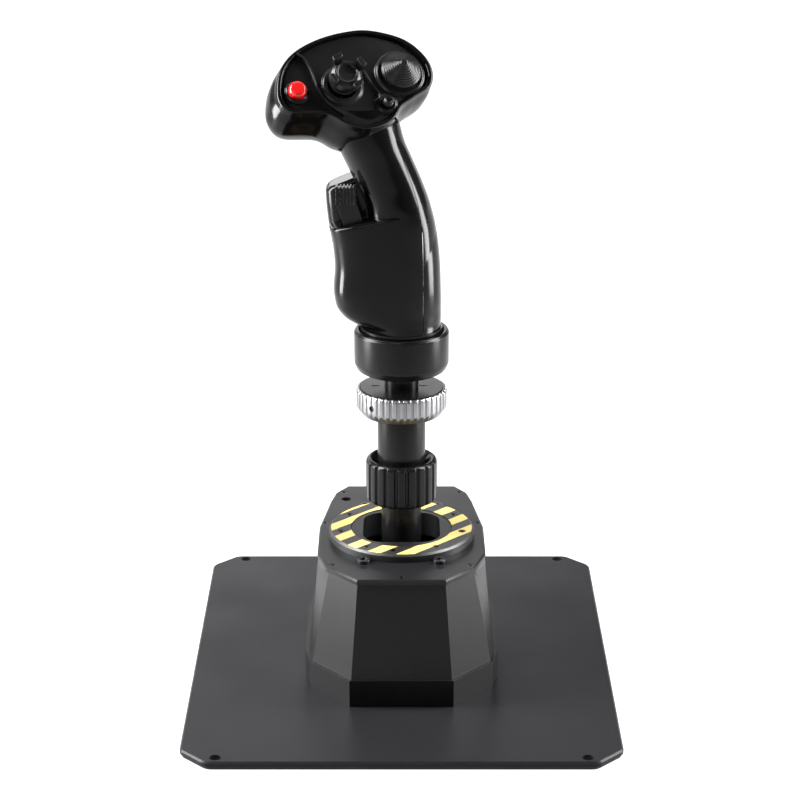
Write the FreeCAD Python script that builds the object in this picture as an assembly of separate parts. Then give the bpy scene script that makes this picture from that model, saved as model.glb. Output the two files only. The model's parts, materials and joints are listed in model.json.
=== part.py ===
import FreeCAD, Part
import math
import os

"""Desktop flight joystick: a two-axis base on a steel desk plate and a screw-on grip.

Millimetres.  +Z is up, +Y points away from the pilot, +X to the pilot's right.
The origin is the centre of the desk plate's underside.  The stick's axis is the Z axis
at rest and the gimbal's two axes cross it at GIMBAL_Z.
"""

# ---- desk plate ------------------------------------------------------------
PLATE_WIDTH = 250.0
PLATE_DEPTH = 290.0
PLATE_THICKNESS = 3.0
PLATE_BEVEL = 1.0
PLATE_CORNER_CUT = 15.0
PLATE_CORNER_ROUND = 7.0
MAT_THICKNESS = 2.0
MAT_INSET = 1.0
BENCH_HOLE_RADIUS = 3.3
BENCH_HOLE_FROM_SIDE = 20.9
BENCH_HOLE_FROM_END = 5.6
MAT_HOLE_RADIUS = 3.8

# ---- housing ---------------------------------------------------------------
FOOT_HALF_WIDTH = 57.3
FOOT_FRONT = -77.7
FOOT_BACK = 88.0
FOOT_HEIGHT = 16.8
FOOT_WALL = 4.0
COVER_HALF_WIDTH = 49.8
COVER_FRONT = -68.7
COVER_BACK = 79.7
COVER_THICKNESS = 3.0
COVER_BEVEL = 1.0
COVER_OVERHANG = 0.8
HOUSING_HEIGHT = 76.4
SHELL_LEDGE = 2.3
SHELL_FRONT_LEDGE = 1.0
SHELL_WALL = 4.0
SHELL_LIP = 2.5
SHELL_LIP_DEPTH = 4.0
SHELL_LIP_GAP = 0.15

# ---- ring and gate round the shaft ------------------------------------------
RING_RADIUS = 43.5
RING_INNER_RADIUS = 30.4
RING_THICKNESS = 5.0
RING_BEVEL = 1.2
RING_SCREW_CIRCLE = 36.9
GATE_HALF_OPENING = 23.0
GATE_CORNER_ROUND = 12.0
GATE_WALL = 2.6
GATE_FLANGE_GAP = 0.3
GATE_RECESS = 0.4
GATE_SLEEVE_DEPTH = 7.0

# ---- gimbal ------------------------------------------------------------------
GIMBAL_Z = 50.0
PIVOT_RADIUS = 5.0
RUNNING_GAP = 0.05
BEARING_RADIUS = 8.0
YOKE_HALF_X = 27.0
YOKE_HALF_Y = 26.0
YOKE_HALF_HEIGHT = 10.0
YOKE_WALL = 6.0
SPRING_BAY = 7.0
CRADLE_WALL = 6.0
CRADLE_FLOOR = 5.0
CRADLE_HALF_DEPTH = 13.0
CRADLE_FOOT_HALF_DEPTH = 30.0
BLOCK_HALF = 13.0
BLOCK_HALF_HEIGHT = 10.0
SPRING_RADIUS = 9.8
SPRING_WIRE = 0.8
SPRING_TURNS = 3.0
MAGNET_RADIUS = 3.5
MAGNET_THICKNESS = 2.0
SENSOR_GAP = 1.2
SENSOR_BOARD = 1.6

# ---- stick stack ---------------------------------------------------------------
SHAFT_RADIUS = 12.0
SHAFT_TOP = 112.0
SPIGOT_RADIUS = 8.0
KNOB_RADIUS = 21.2
KNOB_BOTTOM = 105.2
KNOB_TOP = 131.4
KNOB_RIBS = 20
TUBE_RADIUS = 14.2
TUBE_TOP = 163.3
TUBE_WALL = 4.0
LOCK_RING_RADIUS = 26.8
LOCK_RING_BOTTOM = 160.0
LOCK_RING_TOP = 175.8
LOCK_RING_RIBS = 40
COUPLING_RADIUS = 24.4
COUPLING_TOP = 176.2
NECK_RADIUS = 10.0
FLANGE_RADIUS = 18.2
FLANGE_BOTTOM = 184.6
FLANGE_TOP = 190.0
COLLAR_RADIUS = 27.8
COLLAR_BOTTOM = 186.4
COLLAR_TOP = 211.8
GRIP_FOOT_RADIUS = 24.0
GRIP_FOOT_TOP = 213.8
TURN_GAP = 0.08

# ---- grip ------------------------------------------------------------------------
GRIP_WALL = 3.0
# height, left, right, back (towards the pilot), front, squareness of the left and right halves
PALM_LEVELS = [
    (213.8, -23.4, 22.9, -23.4, 23.4, 2.0, 2.0),
    (217.0, -26.4, 23.0, -23.4, 23.8, 2.1, 2.0),
    (219.5, -30.8, 23.1, -23.5, 24.2, 2.5, 2.1),
    (223.5, -35.2, 23.1, -23.6, 24.8, 3.0, 2.2),
    (229.5, -38.4, 23.1, -23.7, 25.6, 3.3, 2.4),
    (238.0, -39.4, 22.9, -23.8, 26.2, 3.4, 2.5),
    (251.0, -38.6, 22.4, -23.7, 26.2, 3.4, 2.5),
    (264.0, -40.6, 21.2, -23.5, 26.0, 3.4, 2.4),
    (277.0, -42.5, 19.2, -23.2, 25.6, 3.4, 2.3),
    (290.0, -43.6, 15.4, -22.8, 25.0, 3.4, 2.2),
]
COLUMN_LEVELS = [
    (252.0, -20.0, 22.2, -22.4, 25.0, 2.3, 2.4),
    (271.0, -20.0, 20.3, -22.2, 24.2, 2.3, 2.3),
    (286.0, -21.0, 16.7, -21.6, 23.4, 2.3, 2.3),
    (299.0, -26.2, 12.1, -20.6, 22.4, 2.3, 2.3),
    (312.5, -32.4, 6.3, -20.4, 22.0, 2.2, 2.3),
    (324.0, -38.0, 1.5, -20.8, 21.6, 2.2, 2.2),
    (334.5, -44.0, -1.3, -20.6, 21.2, 2.2, 2.2),
    (346.0, -50.0, -5.0, -18.0, 21.0, 2.2, 2.2),
]
POD_LEVELS = [
    (262.0, -40.2, -4.0, -5.0, 24.8, 3.6, 3.6),
    (277.0, -42.5, -4.0, -5.0, 24.4, 3.6, 3.6),
    (290.0, -43.6, -5.0, -5.0, 22.4, 3.6, 3.6),
    (299.6, -43.8, -8.0, -5.0, 17.6, 3.4, 3.4),
    (306.0, -43.6, -11.0, -4.6, 14.0, 3.4, 3.4),
]
POD_TOP_LEFT = 296.0
POD_TOP_SLOPE = 0.42
# thumb ledge: a sloping plane through this point
LEDGE_X = 0.7
LEDGE_Z = 285.4
LEDGE_SLOPE = 9.5 / 41.0
# seam between the half shells: X at each height
SEAM_POINTS = [
    (205.0, 12.5), (250.0, 12.5), (270.0, 12.0), (286.0, 10.2),
    (300.0, 6.4), (314.0, 1.4), (330.0, -4.0), (350.0, -11.0),
]
BOSS_RADIUS = 3.6
GRIP_SCREW_RADIUS = 1.5
# each boss: Y, Z and how far its screw seat lies beyond the seam
GRIP_BOSSES = [(12.0, 232.0, 5.0), (12.0, 268.0, 3.5), (6.0, 303.0, 2.0)]
GRIP_SCREW_LENGTH = 14.0
GRIP_SCREW_HEAD_HEIGHT = 1.6

# ---- head ----------------------------------------------------------------------------
HEAD_CENTRE = (-28.0, -12.0, 355.0)
HEAD_RISE = 40.0
HEAD_YAW = 15.0
HEAD_ROLL = 6.0
HEAD_DEPTH = 38.0
BEZEL_DEPTH = 4.5
FACE_RECESS = 2.5
FACE_PLATE = 2.0
FACE_MIDDLE = (3.5, 9.0)
FACE_OUTLINE = [
    (-25.9, 29.8), (-12.0, 35.2), (4.0, 37.6), (20.0, 36.6), (37.4, 28.9),
    (46.8, 18.4), (50.4, 7.0), (47.0, -3.4), (36.0, -9.0), (27.0, -13.6),
    (18.0, -21.6), (4.0, -24.6), (-8.0, -19.6), (-18.0, -11.6), (-37.2, -7.2),
    (-42.6, 1.4), (-40.6, 12.4), (-35.2, 22.0),
]
CASTLE_AT = (-3.7, 5.0)
TRIM_AT = (31.0, 7.0)
THUMB_BUTTON_AT = (-30.5, 5.0)
SMALL_BUTTON_AT = (18.4, -10.4)


def vec(x, y, z):
    return FreeCAD.Vector(x, y, z)


def cylinder(radius, low, high, x=0.0, y=0.0):
    return Part.makeCylinder(radius, high - low, vec(x, y, low))


def tube(outer, inner, low, high, x=0.0, y=0.0):
    return cylinder(outer, low, high, x, y).cut(cylinder(inner, low - 1, high + 1, x, y))


def rod(radius, start, end):
    """Cylinder between two points."""
    axis = vec(*end) - vec(*start)
    return Part.makeCylinder(radius, axis.Length, vec(*start), axis)


def block(x0, x1, y0, y1, z0, z1):
    return Part.makeBox(x1 - x0, y1 - y0, z1 - z0, vec(x0, y0, z0))


def polygon(points, z):
    corners = [vec(x, y, z) for x, y in points]
    return Part.makePolygon(corners + corners[:1])


def prism(points, low, high):
    return Part.Face(polygon(points, low)).extrude(vec(0, 0, high - low))


def frustum(low_points, low, high_points, high):
    """Flat-sided solid between two outlines with the same number of corners."""
    wires = [polygon(low_points, low), polygon(high_points, high)]
    return Part.makeLoft(wires, True, True)


def inset(points, distance):
    """Convex outline moved inwards by a distance, corner by corner."""
    moved = []
    count = len(points)
    turn = 0.0
    for i in range(count):
        (ax, ay), (bx, by) = points[i], points[(i + 1) % count]
        turn += ax * by - bx * ay
    side = 1.0 if turn > 0 else -1.0
    for i in range(count):
        previous, here, following = points[i - 1], points[i], points[(i + 1) % count]
        normals = []
        for (ax, ay), (bx, by) in ((previous, here), (here, following)):
            length = math.hypot(bx - ax, by - ay)
            normals.append((-(by - ay) / length * side, (bx - ax) / length * side))
        (nx, ny), (mx, my) = normals
        scale = distance / (1 + nx * mx + ny * my)
        moved.append((here[0] + (nx + mx) * scale, here[1] + (ny + my) * scale))
    return moved


def mirrored(half):
    """Full outline from its right half, which runs from front to back."""
    return half + [(-x, y) for x, y in reversed(half)]


def fuse_all(shapes):
    body = shapes[0].fuse(shapes[1:]) if len(shapes) > 1 else shapes[0]
    return body.removeSplitter()


def largest(shape):
    return max(shape.Solids, key=lambda solid: solid.Volume)


def group(shapes):
    return Part.makeCompound(shapes)


def save(name, shape):
    shape.exportStep("parts/" + name + ".step")


# ---- levels worked out from the sizes above -------------------------------------------
PLATE_TOP = MAT_THICKNESS + PLATE_THICKNESS
FOOT_TOP = PLATE_TOP + FOOT_HEIGHT
COVER_TOP = PLATE_TOP + HOUSING_HEIGHT
COVER_BOTTOM = COVER_TOP - COVER_THICKNESS
RING_TOP = COVER_TOP + RING_THICKNESS
GATE_TOP = RING_TOP - GATE_RECESS
GATE_OUTER = GATE_HALF_OPENING + GATE_WALL

FOOT_OUTLINE = mirrored([
    (FOOT_HALF_WIDTH - 27.0, FOOT_FRONT),
    (FOOT_HALF_WIDTH - 3.3, FOOT_FRONT + 25.9),
    (FOOT_HALF_WIDTH, FOOT_FRONT + 41.9),
    (FOOT_HALF_WIDTH, FOOT_BACK - 63.0),
    (FOOT_HALF_WIDTH - 5.5, FOOT_BACK - 24.0),
    (FOOT_HALF_WIDTH - 9.5, FOOT_BACK - 11.0),
    (FOOT_HALF_WIDTH - 18.5, FOOT_BACK),
])
SHELL_FOOT_OUTLINE = mirrored([
    (FOOT_HALF_WIDTH - 28.0, FOOT_FRONT + SHELL_FRONT_LEDGE),
    (FOOT_HALF_WIDTH - 4.6, FOOT_FRONT + 26.4),
    (FOOT_HALF_WIDTH - SHELL_LEDGE, FOOT_FRONT + 42.0),
    (FOOT_HALF_WIDTH - SHELL_LEDGE, FOOT_BACK - 63.0),
    (FOOT_HALF_WIDTH - 5.5 - SHELL_LEDGE, FOOT_BACK - 24.5),
    (FOOT_HALF_WIDTH - 9.5 - SHELL_LEDGE, FOOT_BACK - 12.0),
    (FOOT_HALF_WIDTH - 18.5 - SHELL_LEDGE, FOOT_BACK - SHELL_FRONT_LEDGE),
])
COVER_OUTLINE = mirrored([
    (COVER_HALF_WIDTH - 24.0, COVER_FRONT),
    (COVER_HALF_WIDTH - 6.8, COVER_FRONT + 19.4),
    (COVER_HALF_WIDTH, COVER_FRONT + 40.0),
    (COVER_HALF_WIDTH, COVER_BACK - 66.9),
    (COVER_HALF_WIDTH - 5.8, COVER_BACK - 24.7),
    (COVER_HALF_WIDTH - 8.6, COVER_BACK - 11.1),
    (COVER_HALF_WIDTH - 15.8, COVER_BACK),
])
FOOT_BOSS_RADIUS = 6.0
FOOT_BOSS_INSET = 9.0
FOOT_BOSS_CORNERS = (1, 3, 6, 7, 10, 12)
FOOT_SCREW_RADIUS = 2.0
FOOT_SCREW_HEAD = 3.6
SHELL_BOSS_HEIGHT = 14.0
COVER_SCREWS = [
    (0.0, COVER_FRONT + 3.8),
    (COVER_HALF_WIDTH - 9.6, COVER_FRONT + 22.4),
    (-COVER_HALF_WIDTH + 9.6, COVER_FRONT + 22.4),
    (COVER_HALF_WIDTH - 3.4, COVER_BACK - 62.0),
    (-COVER_HALF_WIDTH + 3.4, COVER_BACK - 62.0),
    (COVER_HALF_WIDTH - 13.4, COVER_BACK - 11.4),
    (-COVER_HALF_WIDTH + 13.4, COVER_BACK - 11.4),
]
COVER_BOSS_RADIUS = 3.4
COVER_BOSS_DEPTH = 10.0
COVER_SCREW_RADIUS = 1.2
COVER_SCREW_HEAD = 2.0
GATE_SCREWS = [(22.2, -42.4), (-22.2, -42.4), (22.2, 42.4), (-22.2, 42.4)]
GATE_SCREW_RADIUS = 2.0
GATE_SCREW_HEAD = 3.9
GATE_SCREW_HEAD_HEIGHT = 2.2
PEG_HOLE_AT = (-34.6, 56.8)
PEG_HOLE_RADIUS = 3.0
RING_SCREW_ANGLES = [31.0, 76.0, 104.0, 149.0, 191.0, 236.0, 304.0, 349.0]
RING_KEY_AT = (-5.0, -36.0)
RING_KEY_RADIUS = 1.8
RING_SCREW_RADIUS = 1.2
RING_SCREW_HEAD = 2.2

# ---- desk plate and housing ----------------------------------------------------------------


def plate_outline(shrink):
    half_x = PLATE_WIDTH / 2 - shrink
    half_y = PLATE_DEPTH / 2 - shrink
    cut = PLATE_CORNER_CUT
    half = [(half_x - cut, -half_y), (half_x, -half_y + cut), (half_x, half_y - cut), (half_x - cut, half_y)]
    return mirrored(half)


def rounded_plate(shrink, low, high):
    slab = prism(plate_outline(shrink), low, high)
    upright = [e for e in slab.Edges if abs(e.Vertexes[0].Z - e.Vertexes[1].Z) > (high - low) / 2]
    return slab.makeFillet(PLATE_CORNER_ROUND, upright)


def bench_holes():
    x = PLATE_WIDTH / 2 - BENCH_HOLE_FROM_SIDE
    y = PLATE_DEPTH / 2 - BENCH_HOLE_FROM_END
    return [(sx * x, sy * y) for sx in (-1, 1) for sy in (-1, 1)]


def foot_screw_places():
    places = inset(FOOT_OUTLINE, FOOT_BOSS_INSET)
    return [places[i] for i in FOOT_BOSS_CORNERS]


def countersink(x, y, mouth, wide, narrow, depth, direction):
    """Cone cutter whose wide end lies at height mouth."""
    return Part.makeCone(wide, narrow, depth, vec(x, y, mouth), vec(0, 0, direction))


def base_plate():
    plate = rounded_plate(0.0, MAT_THICKNESS, PLATE_TOP)
    rim = [e for e in plate.Edges if all(abs(v.Z - PLATE_TOP) < 1e-6 for v in e.Vertexes)]
    plate = plate.makeChamfer(PLATE_BEVEL, rim)
    cutters = []
    for x, y in bench_holes():
        cutters.append(cylinder(BENCH_HOLE_RADIUS, 0, PLATE_TOP + 1, x, y))
    for x, y in foot_screw_places() + cradle_screw_places() + standoff_places():
        cutters.append(cylinder(FOOT_SCREW_RADIUS, 0, PLATE_TOP + 1, x, y))
        sink = FOOT_SCREW_HEAD - FOOT_SCREW_RADIUS
        cutters.append(countersink(x, y, MAT_THICKNESS, FOOT_SCREW_HEAD, FOOT_SCREW_RADIUS, sink, 1))
    return plate.cut(group(cutters))


def anti_slip_mat():
    mat = rounded_plate(MAT_INSET, 0.0, MAT_THICKNESS)
    return mat.cut(group([cylinder(MAT_HOLE_RADIUS, -1, MAT_THICKNESS + 1, x, y) for x, y in bench_holes()]))


def sunk_screw(x, y, length):
    """Countersunk screw driven up through the plate."""
    sink = FOOT_SCREW_HEAD - FOOT_SCREW_RADIUS
    head = countersink(x, y, MAT_THICKNESS, FOOT_SCREW_HEAD, FOOT_SCREW_RADIUS, sink, 1)
    return head.fuse(cylinder(FOOT_SCREW_RADIUS, MAT_THICKNESS + sink / 2, MAT_THICKNESS + length, x, y))


FOOT_SCREW_LENGTH = PLATE_THICKNESS + FOOT_HEIGHT + SHELL_BOSS_HEIGHT - 3.0


def foot_screws():
    return group([sunk_screw(x, y, FOOT_SCREW_LENGTH) for x, y in foot_screw_places()])


def foot_band():
    outer = prism(FOOT_OUTLINE, PLATE_TOP, FOOT_TOP)
    inner = prism(inset(FOOT_OUTLINE, FOOT_WALL), PLATE_TOP - 1, FOOT_TOP + 1)
    band = outer.cut(inner)
    lip_top = FOOT_TOP - SHELL_LIP_DEPTH - 1.0
    bosses = [cylinder(FOOT_BOSS_RADIUS, PLATE_TOP, lip_top, x, y) for x, y in foot_screw_places()]
    band = fuse_all([band] + bosses)
    holes = [cylinder(FOOT_SCREW_RADIUS, 0, FOOT_TOP + 1, x, y) for x, y in foot_screw_places()]
    return band.cut(group(holes + [socket_window()]))


def housing_shell():
    outer = frustum(SHELL_FOOT_OUTLINE, FOOT_TOP, inset(COVER_OUTLINE, COVER_OVERHANG), COVER_BOTTOM)
    inner = frustum(inset(SHELL_FOOT_OUTLINE, SHELL_WALL), FOOT_TOP,
                    inset(COVER_OUTLINE, COVER_OVERHANG + SHELL_WALL), COVER_BOTTOM)
    lip_outline = inset(FOOT_OUTLINE, FOOT_WALL + SHELL_LIP_GAP)
    lip = prism(lip_outline, FOOT_TOP - SHELL_LIP_DEPTH, FOOT_TOP + 2)
    lip = lip.cut(prism(inset(lip_outline, SHELL_LIP), FOOT_TOP - SHELL_LIP_DEPTH - 1, FOOT_TOP + 3))
    bosses = []
    for x, y in foot_screw_places():
        bosses.append(cylinder(FOOT_BOSS_RADIUS, FOOT_TOP - SHELL_LIP_DEPTH,
                               FOOT_TOP + SHELL_BOSS_HEIGHT, x, y))
    foot_bosses = group(bosses).common(prism(lip_outline, 0, COVER_TOP))
    top_bosses = group([cylinder(COVER_BOSS_RADIUS, COVER_BOTTOM - COVER_BOSS_DEPTH, COVER_BOTTOM, x, y)
                        for x, y in COVER_SCREWS])
    low_part = fuse_all([lip] + foot_bosses.Solids).common(prism(lip_outline, 0, FOOT_TOP))
    high_part = group(bosses + top_bosses.Solids).common(outer)
    shell = fuse_all([outer.cut(inner), low_part] + high_part.Solids)
    holes = [cylinder(FOOT_SCREW_RADIUS, 0, MAT_THICKNESS + FOOT_SCREW_LENGTH, x, y)
             for x, y in foot_screw_places()]
    holes += [cylinder(COVER_SCREW_RADIUS, COVER_BOTTOM - COVER_BOSS_DEPTH + 2, COVER_TOP, x, y)
              for x, y in COVER_SCREWS]
    return shell.cut(group(holes + [socket_window()]))


def rounded_square(half, radius, low, high):
    solid = block(-half, half, -half, half, low, high)
    upright = [e for e in solid.Edges if abs(e.Vertexes[0].Z - e.Vertexes[1].Z) > (high - low) / 2]
    return solid.makeFillet(radius, upright)


def top_cover():
    cover = prism(COVER_OUTLINE, COVER_BOTTOM, COVER_TOP)
    rim = [e for e in cover.Edges if all(abs(v.Z - COVER_TOP) < 1e-6 for v in e.Vertexes)]
    cover = cover.makeChamfer(COVER_BEVEL, rim)
    opening = GATE_OUTER + GATE_FLANGE_GAP
    cutters = [rounded_square(opening, GATE_CORNER_ROUND + GATE_WALL, COVER_BOTTOM - 1, COVER_TOP + 1)]
    cutters.append(cylinder(PEG_HOLE_RADIUS, COVER_BOTTOM - 1, COVER_TOP + 1, *PEG_HOLE_AT))
    for x, y in COVER_SCREWS:
        cutters.append(cylinder(COVER_SCREW_RADIUS, COVER_BOTTOM - 1, COVER_TOP + 1, x, y))
        cutters.append(cylinder(COVER_SCREW_HEAD + 0.1, COVER_TOP - 1.2, COVER_TOP + 1, x, y))
    for x, y in GATE_SCREWS:
        cutters.append(cylinder(GATE_SCREW_RADIUS, COVER_BOTTOM - 1, COVER_TOP + 1, x, y))
    for x, y in ring_screw_places():
        cutters.append(cylinder(RING_SCREW_RADIUS, COVER_BOTTOM - 1, COVER_TOP + 1, x, y))
    return cover.cut(group(cutters))


def hex_socket(x, y, top, width, depth):
    corners = []
    for k in range(6):
        angle = math.radians(60 * k + 15)
        reach = width / math.sqrt(3)
        corners.append((x + reach * math.cos(angle), y + reach * math.sin(angle)))
    return prism(corners, top - depth, top + 0.5)


def cap_screw(x, y, top, head_radius, head_height, radius, length):
    """Socket screw whose head's top face lies at height top."""
    head = cylinder(head_radius, top - head_height, top, x, y)
    shank = cylinder(radius, top - head_height - length, top - head_height, x, y)
    return head.fuse(shank).cut(hex_socket(x, y, top, head_radius, head_height * 0.6))


def cover_screws():
    return group([cap_screw(x, y, COVER_TOP - 0.2, COVER_SCREW_HEAD, 1.0, COVER_SCREW_RADIUS, 8.0)
                  for x, y in COVER_SCREWS])


def support_screws():
    """Button-head screws that carry the crash frame under the cover."""
    screws = []
    for x, y in GATE_SCREWS:
        top = COVER_TOP + GATE_SCREW_HEAD_HEIGHT
        screw = cap_screw(x, y, top, GATE_SCREW_HEAD, GATE_SCREW_HEAD_HEIGHT, GATE_SCREW_RADIUS, 8.0)
        screws.append(screw)
    return group(screws)


def stiffener_bars():
    """Two bars under the cover that the button-head screws pull up against it."""
    bars = []
    for side in (-1, 1):
        y = side * GATE_SCREWS[2][1]
        bar = block(-30, 30, y - 5, y + 5, COVER_BOTTOM - 5.5, COVER_BOTTOM)
        holes = [cylinder(GATE_SCREW_RADIUS, 0, COVER_TOP, sx * GATE_SCREWS[0][0], y) for sx in (-1, 1)]
        bars.append(bar.cut(group(holes)))
    return group(bars)


def ring_screw_places():
    places = []
    for angle in RING_SCREW_ANGLES:
        a = math.radians(angle)
        places.append((RING_SCREW_CIRCLE * math.cos(a), RING_SCREW_CIRCLE * math.sin(a)))
    return places


def hazard_ring():
    ring = tube(RING_RADIUS, RING_INNER_RADIUS, COVER_TOP, RING_TOP)
    rim = [e for e in ring.Edges if len(e.Vertexes) == 1 and abs(e.Vertexes[0].Z - RING_TOP) < 1e-6
           and e.BoundBox.XLength > 2 * RING_RADIUS - 1]
    ring = ring.makeChamfer(RING_BEVEL, rim)
    cutters = []
    for x, y in ring_screw_places():
        cutters.append(cylinder(RING_SCREW_RADIUS, COVER_TOP - 1, RING_TOP + 1, x, y))
        cutters.append(cylinder(RING_SCREW_HEAD + 0.1, RING_TOP - 1.3, RING_TOP + 1, x, y))
    cutters.append(cylinder(RING_KEY_RADIUS, COVER_TOP + 1, RING_TOP + 1, *RING_KEY_AT))
    return ring.cut(group(cutters))


def ring_screws():
    return group([cap_screw(x, y, RING_TOP - 0.2, RING_SCREW_HEAD, 1.1, RING_SCREW_RADIUS, 6.0)
                  for x, y in ring_screw_places()])


def gate_plate():
    """Travel gate: a flange inside the ring with a rounded-square sleeve through the cover."""
    flange = cylinder(RING_INNER_RADIUS - GATE_FLANGE_GAP, COVER_TOP, GATE_TOP)
    low = COVER_BOTTOM - GATE_SLEEVE_DEPTH
    sleeve = rounded_square(GATE_OUTER, GATE_CORNER_ROUND + GATE_WALL, low, COVER_TOP)
    opening = rounded_square(GATE_HALF_OPENING, GATE_CORNER_ROUND, low - 1, GATE_TOP + 1)
    return flange.fuse(sleeve).cut(opening).removeSplitter()


# ---- electronics in the base -----------------------------------------------------------------
SOCKET_WIDTH = 12.0
SOCKET_HEIGHT = 11.0
SOCKET_DEPTH = 16.0
SOCKET_WALL = 0.8
STANDOFF_HEIGHT = 3.0
STANDOFF_RADIUS = 3.0
BOARD_THICKNESS = 1.6
BOARD_WIDTH = 46.0
BOARD_DEPTH = 34.0
SOCKET_GAP = 0.1
BOARD_BACK = FOOT_BACK - FOOT_WALL - 1.0
BOARD_FRONT = BOARD_BACK - BOARD_DEPTH
BOARD_BOTTOM = PLATE_TOP + STANDOFF_HEIGHT
BOARD_TOP = BOARD_BOTTOM + BOARD_THICKNESS


def standoff_places():
    x = BOARD_WIDTH / 2 - 4
    return [(sx * x, y) for sx in (-1, 1) for y in (BOARD_FRONT + 4, BOARD_BACK - 4)]


def socket_window():
    half = SOCKET_WIDTH / 2 + SOCKET_GAP
    high = BOARD_TOP + SOCKET_HEIGHT + SOCKET_GAP
    front = FOOT_BACK - FOOT_WALL - SHELL_LIP - 1
    return block(-half, half, front, FOOT_BACK + 1, BOARD_TOP - SOCKET_GAP, high)


def usb_socket():
    """Square data and power inlet, open to the back."""
    half = SOCKET_WIDTH / 2
    front = FOOT_BACK - SOCKET_DEPTH
    body = block(-half, half, front, FOOT_BACK, BOARD_TOP, BOARD_TOP + SOCKET_HEIGHT)
    hollow = block(-half + SOCKET_WALL, half - SOCKET_WALL, front + 2, FOOT_BACK + 1,
                   BOARD_TOP + SOCKET_WALL, BOARD_TOP + SOCKET_HEIGHT - SOCKET_WALL)
    middle = BOARD_TOP + SOCKET_HEIGHT / 2
    tongue = block(-2.8, 2.8, front + 1, FOOT_BACK - 7.5, middle - 1.6, middle + 1.6)
    return body.cut(hollow).fuse(tongue).removeSplitter()


def main_board():
    half = BOARD_WIDTH / 2
    board = block(-half, half, BOARD_FRONT, BOARD_BACK, BOARD_BOTTOM, BOARD_TOP)
    holes = [cylinder(FOOT_SCREW_RADIUS - 0.6, 0, BOARD_TOP + 1, x, y) for x, y in standoff_places()]
    chip = block(-6, 6, BOARD_FRONT + 6, BOARD_FRONT + 16, BOARD_TOP, BOARD_TOP + 1.4)
    plug = block(-18, -9, BOARD_FRONT + 14, BOARD_FRONT + 19, BOARD_TOP, BOARD_TOP + 5)
    return fuse_all([board, chip, plug]).cut(group(holes))


def board_standoffs():
    return group([tube(STANDOFF_RADIUS, FOOT_SCREW_RADIUS, PLATE_TOP, BOARD_BOTTOM, x, y)
                  for x, y in standoff_places()])


def board_screws():
    """Screws from below through the plate and the standoffs, each with its nut on the board."""
    screws = []
    for x, y in standoff_places():
        screw = sunk_screw(x, y, PLATE_THICKNESS + STANDOFF_HEIGHT)
        pin = cylinder(FOOT_SCREW_RADIUS - 0.6, BOARD_BOTTOM - 1, BOARD_TOP + 2.4, x, y)
        nut = cylinder(2.6, BOARD_TOP, BOARD_TOP + 2.0, x, y)
        screws.append(fuse_all([screw, pin, nut]))
    return group(screws)


# ---- gimbal -------------------------------------------------------------------------------------
UPRIGHT_INNER = YOKE_HALF_X + SPRING_BAY
UPRIGHT_OUTER = UPRIGHT_INNER + CRADLE_WALL
PIVOT_END = UPRIGHT_OUTER + 0.8
SENSOR_POST_AT = 10.5
SENSOR_POST_RADIUS = 2.2
MAGNET_END = PIVOT_END + MAGNET_THICKNESS
SENSOR_AT = MAGNET_END + SENSOR_GAP
TRUNNION_END = YOKE_HALF_Y + 0.8
ROLL_MAGNET_END = TRUNNION_END + MAGNET_THICKNESS
ROLL_SENSOR_AT = ROLL_MAGNET_END + SENSOR_GAP
SPRING_LEG = 2.4


def cradle_screw_places():
    x = (UPRIGHT_INNER + UPRIGHT_OUTER) / 2
    y = CRADLE_FOOT_HALF_DEPTH - 6
    return [(sx * x, sy * y) for sx in (-1, 1) for sy in (-1, 1)]


def gimbal_cradle():
    """Floor plate with two bearing uprights and a bracket for the pitch sensor board."""
    floor = block(-UPRIGHT_OUTER, UPRIGHT_OUTER, -CRADLE_FOOT_HALF_DEPTH, CRADLE_FOOT_HALF_DEPTH,
                  PLATE_TOP, PLATE_TOP + CRADLE_FLOOR)
    floor = floor.cut(block(-20, 20, -20, 20, 0, 20))
    parts = [floor]
    for side in (-1, 1):
        x0, x1 = sorted((side * UPRIGHT_INNER, side * UPRIGHT_OUTER))
        parts.append(block(x0, x1, -CRADLE_HALF_DEPTH, CRADLE_HALF_DEPTH, PLATE_TOP, GIMBAL_Z))
        parts.append(rod(CRADLE_HALF_DEPTH, (x0, 0, GIMBAL_Z), (x1, 0, GIMBAL_Z)))
    bracket_top = GIMBAL_Z - BEARING_RADIUS - 2.0
    for y in (-9.0, 6.0):
        parts.append(block(UPRIGHT_OUTER - 1, SENSOR_AT, y, y + 3, bracket_top - 3, bracket_top))
    cradle = fuse_all(parts)
    cutters = [rod(BEARING_RADIUS, (-UPRIGHT_OUTER - 1, 0, GIMBAL_Z), (UPRIGHT_OUTER + 1, 0, GIMBAL_Z))]
    for side in (-1, 1):
        cutters.append(spring_leg_hole(UPRIGHT_INNER - 0.5, UPRIGHT_INNER + SPRING_LEG + 0.6, "x", side))
    for x, y in cradle_screw_places():
        cutters.append(cylinder(FOOT_SCREW_RADIUS, 0, PLATE_TOP + CRADLE_FLOOR + 1, x, y))
    return cradle.cut(group(cutters))


def cradle_screws():
    return group([sunk_screw(x, y, PLATE_THICKNESS + CRADLE_FLOOR - 0.5) for x, y in cradle_screw_places()])


def ring_along(outer, inner, start, end, axis):
    """Ring between two distances along the x or y axis through the gimbal centre."""
    if axis == "x":
        ends = [(start, 0, GIMBAL_Z), (end, 0, GIMBAL_Z)]
    else:
        ends = [(0, start, GIMBAL_Z), (0, end, GIMBAL_Z)]
    ring = rod(outer, *ends)
    return ring.cut(rod(inner, *ends)) if inner else ring


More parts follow.
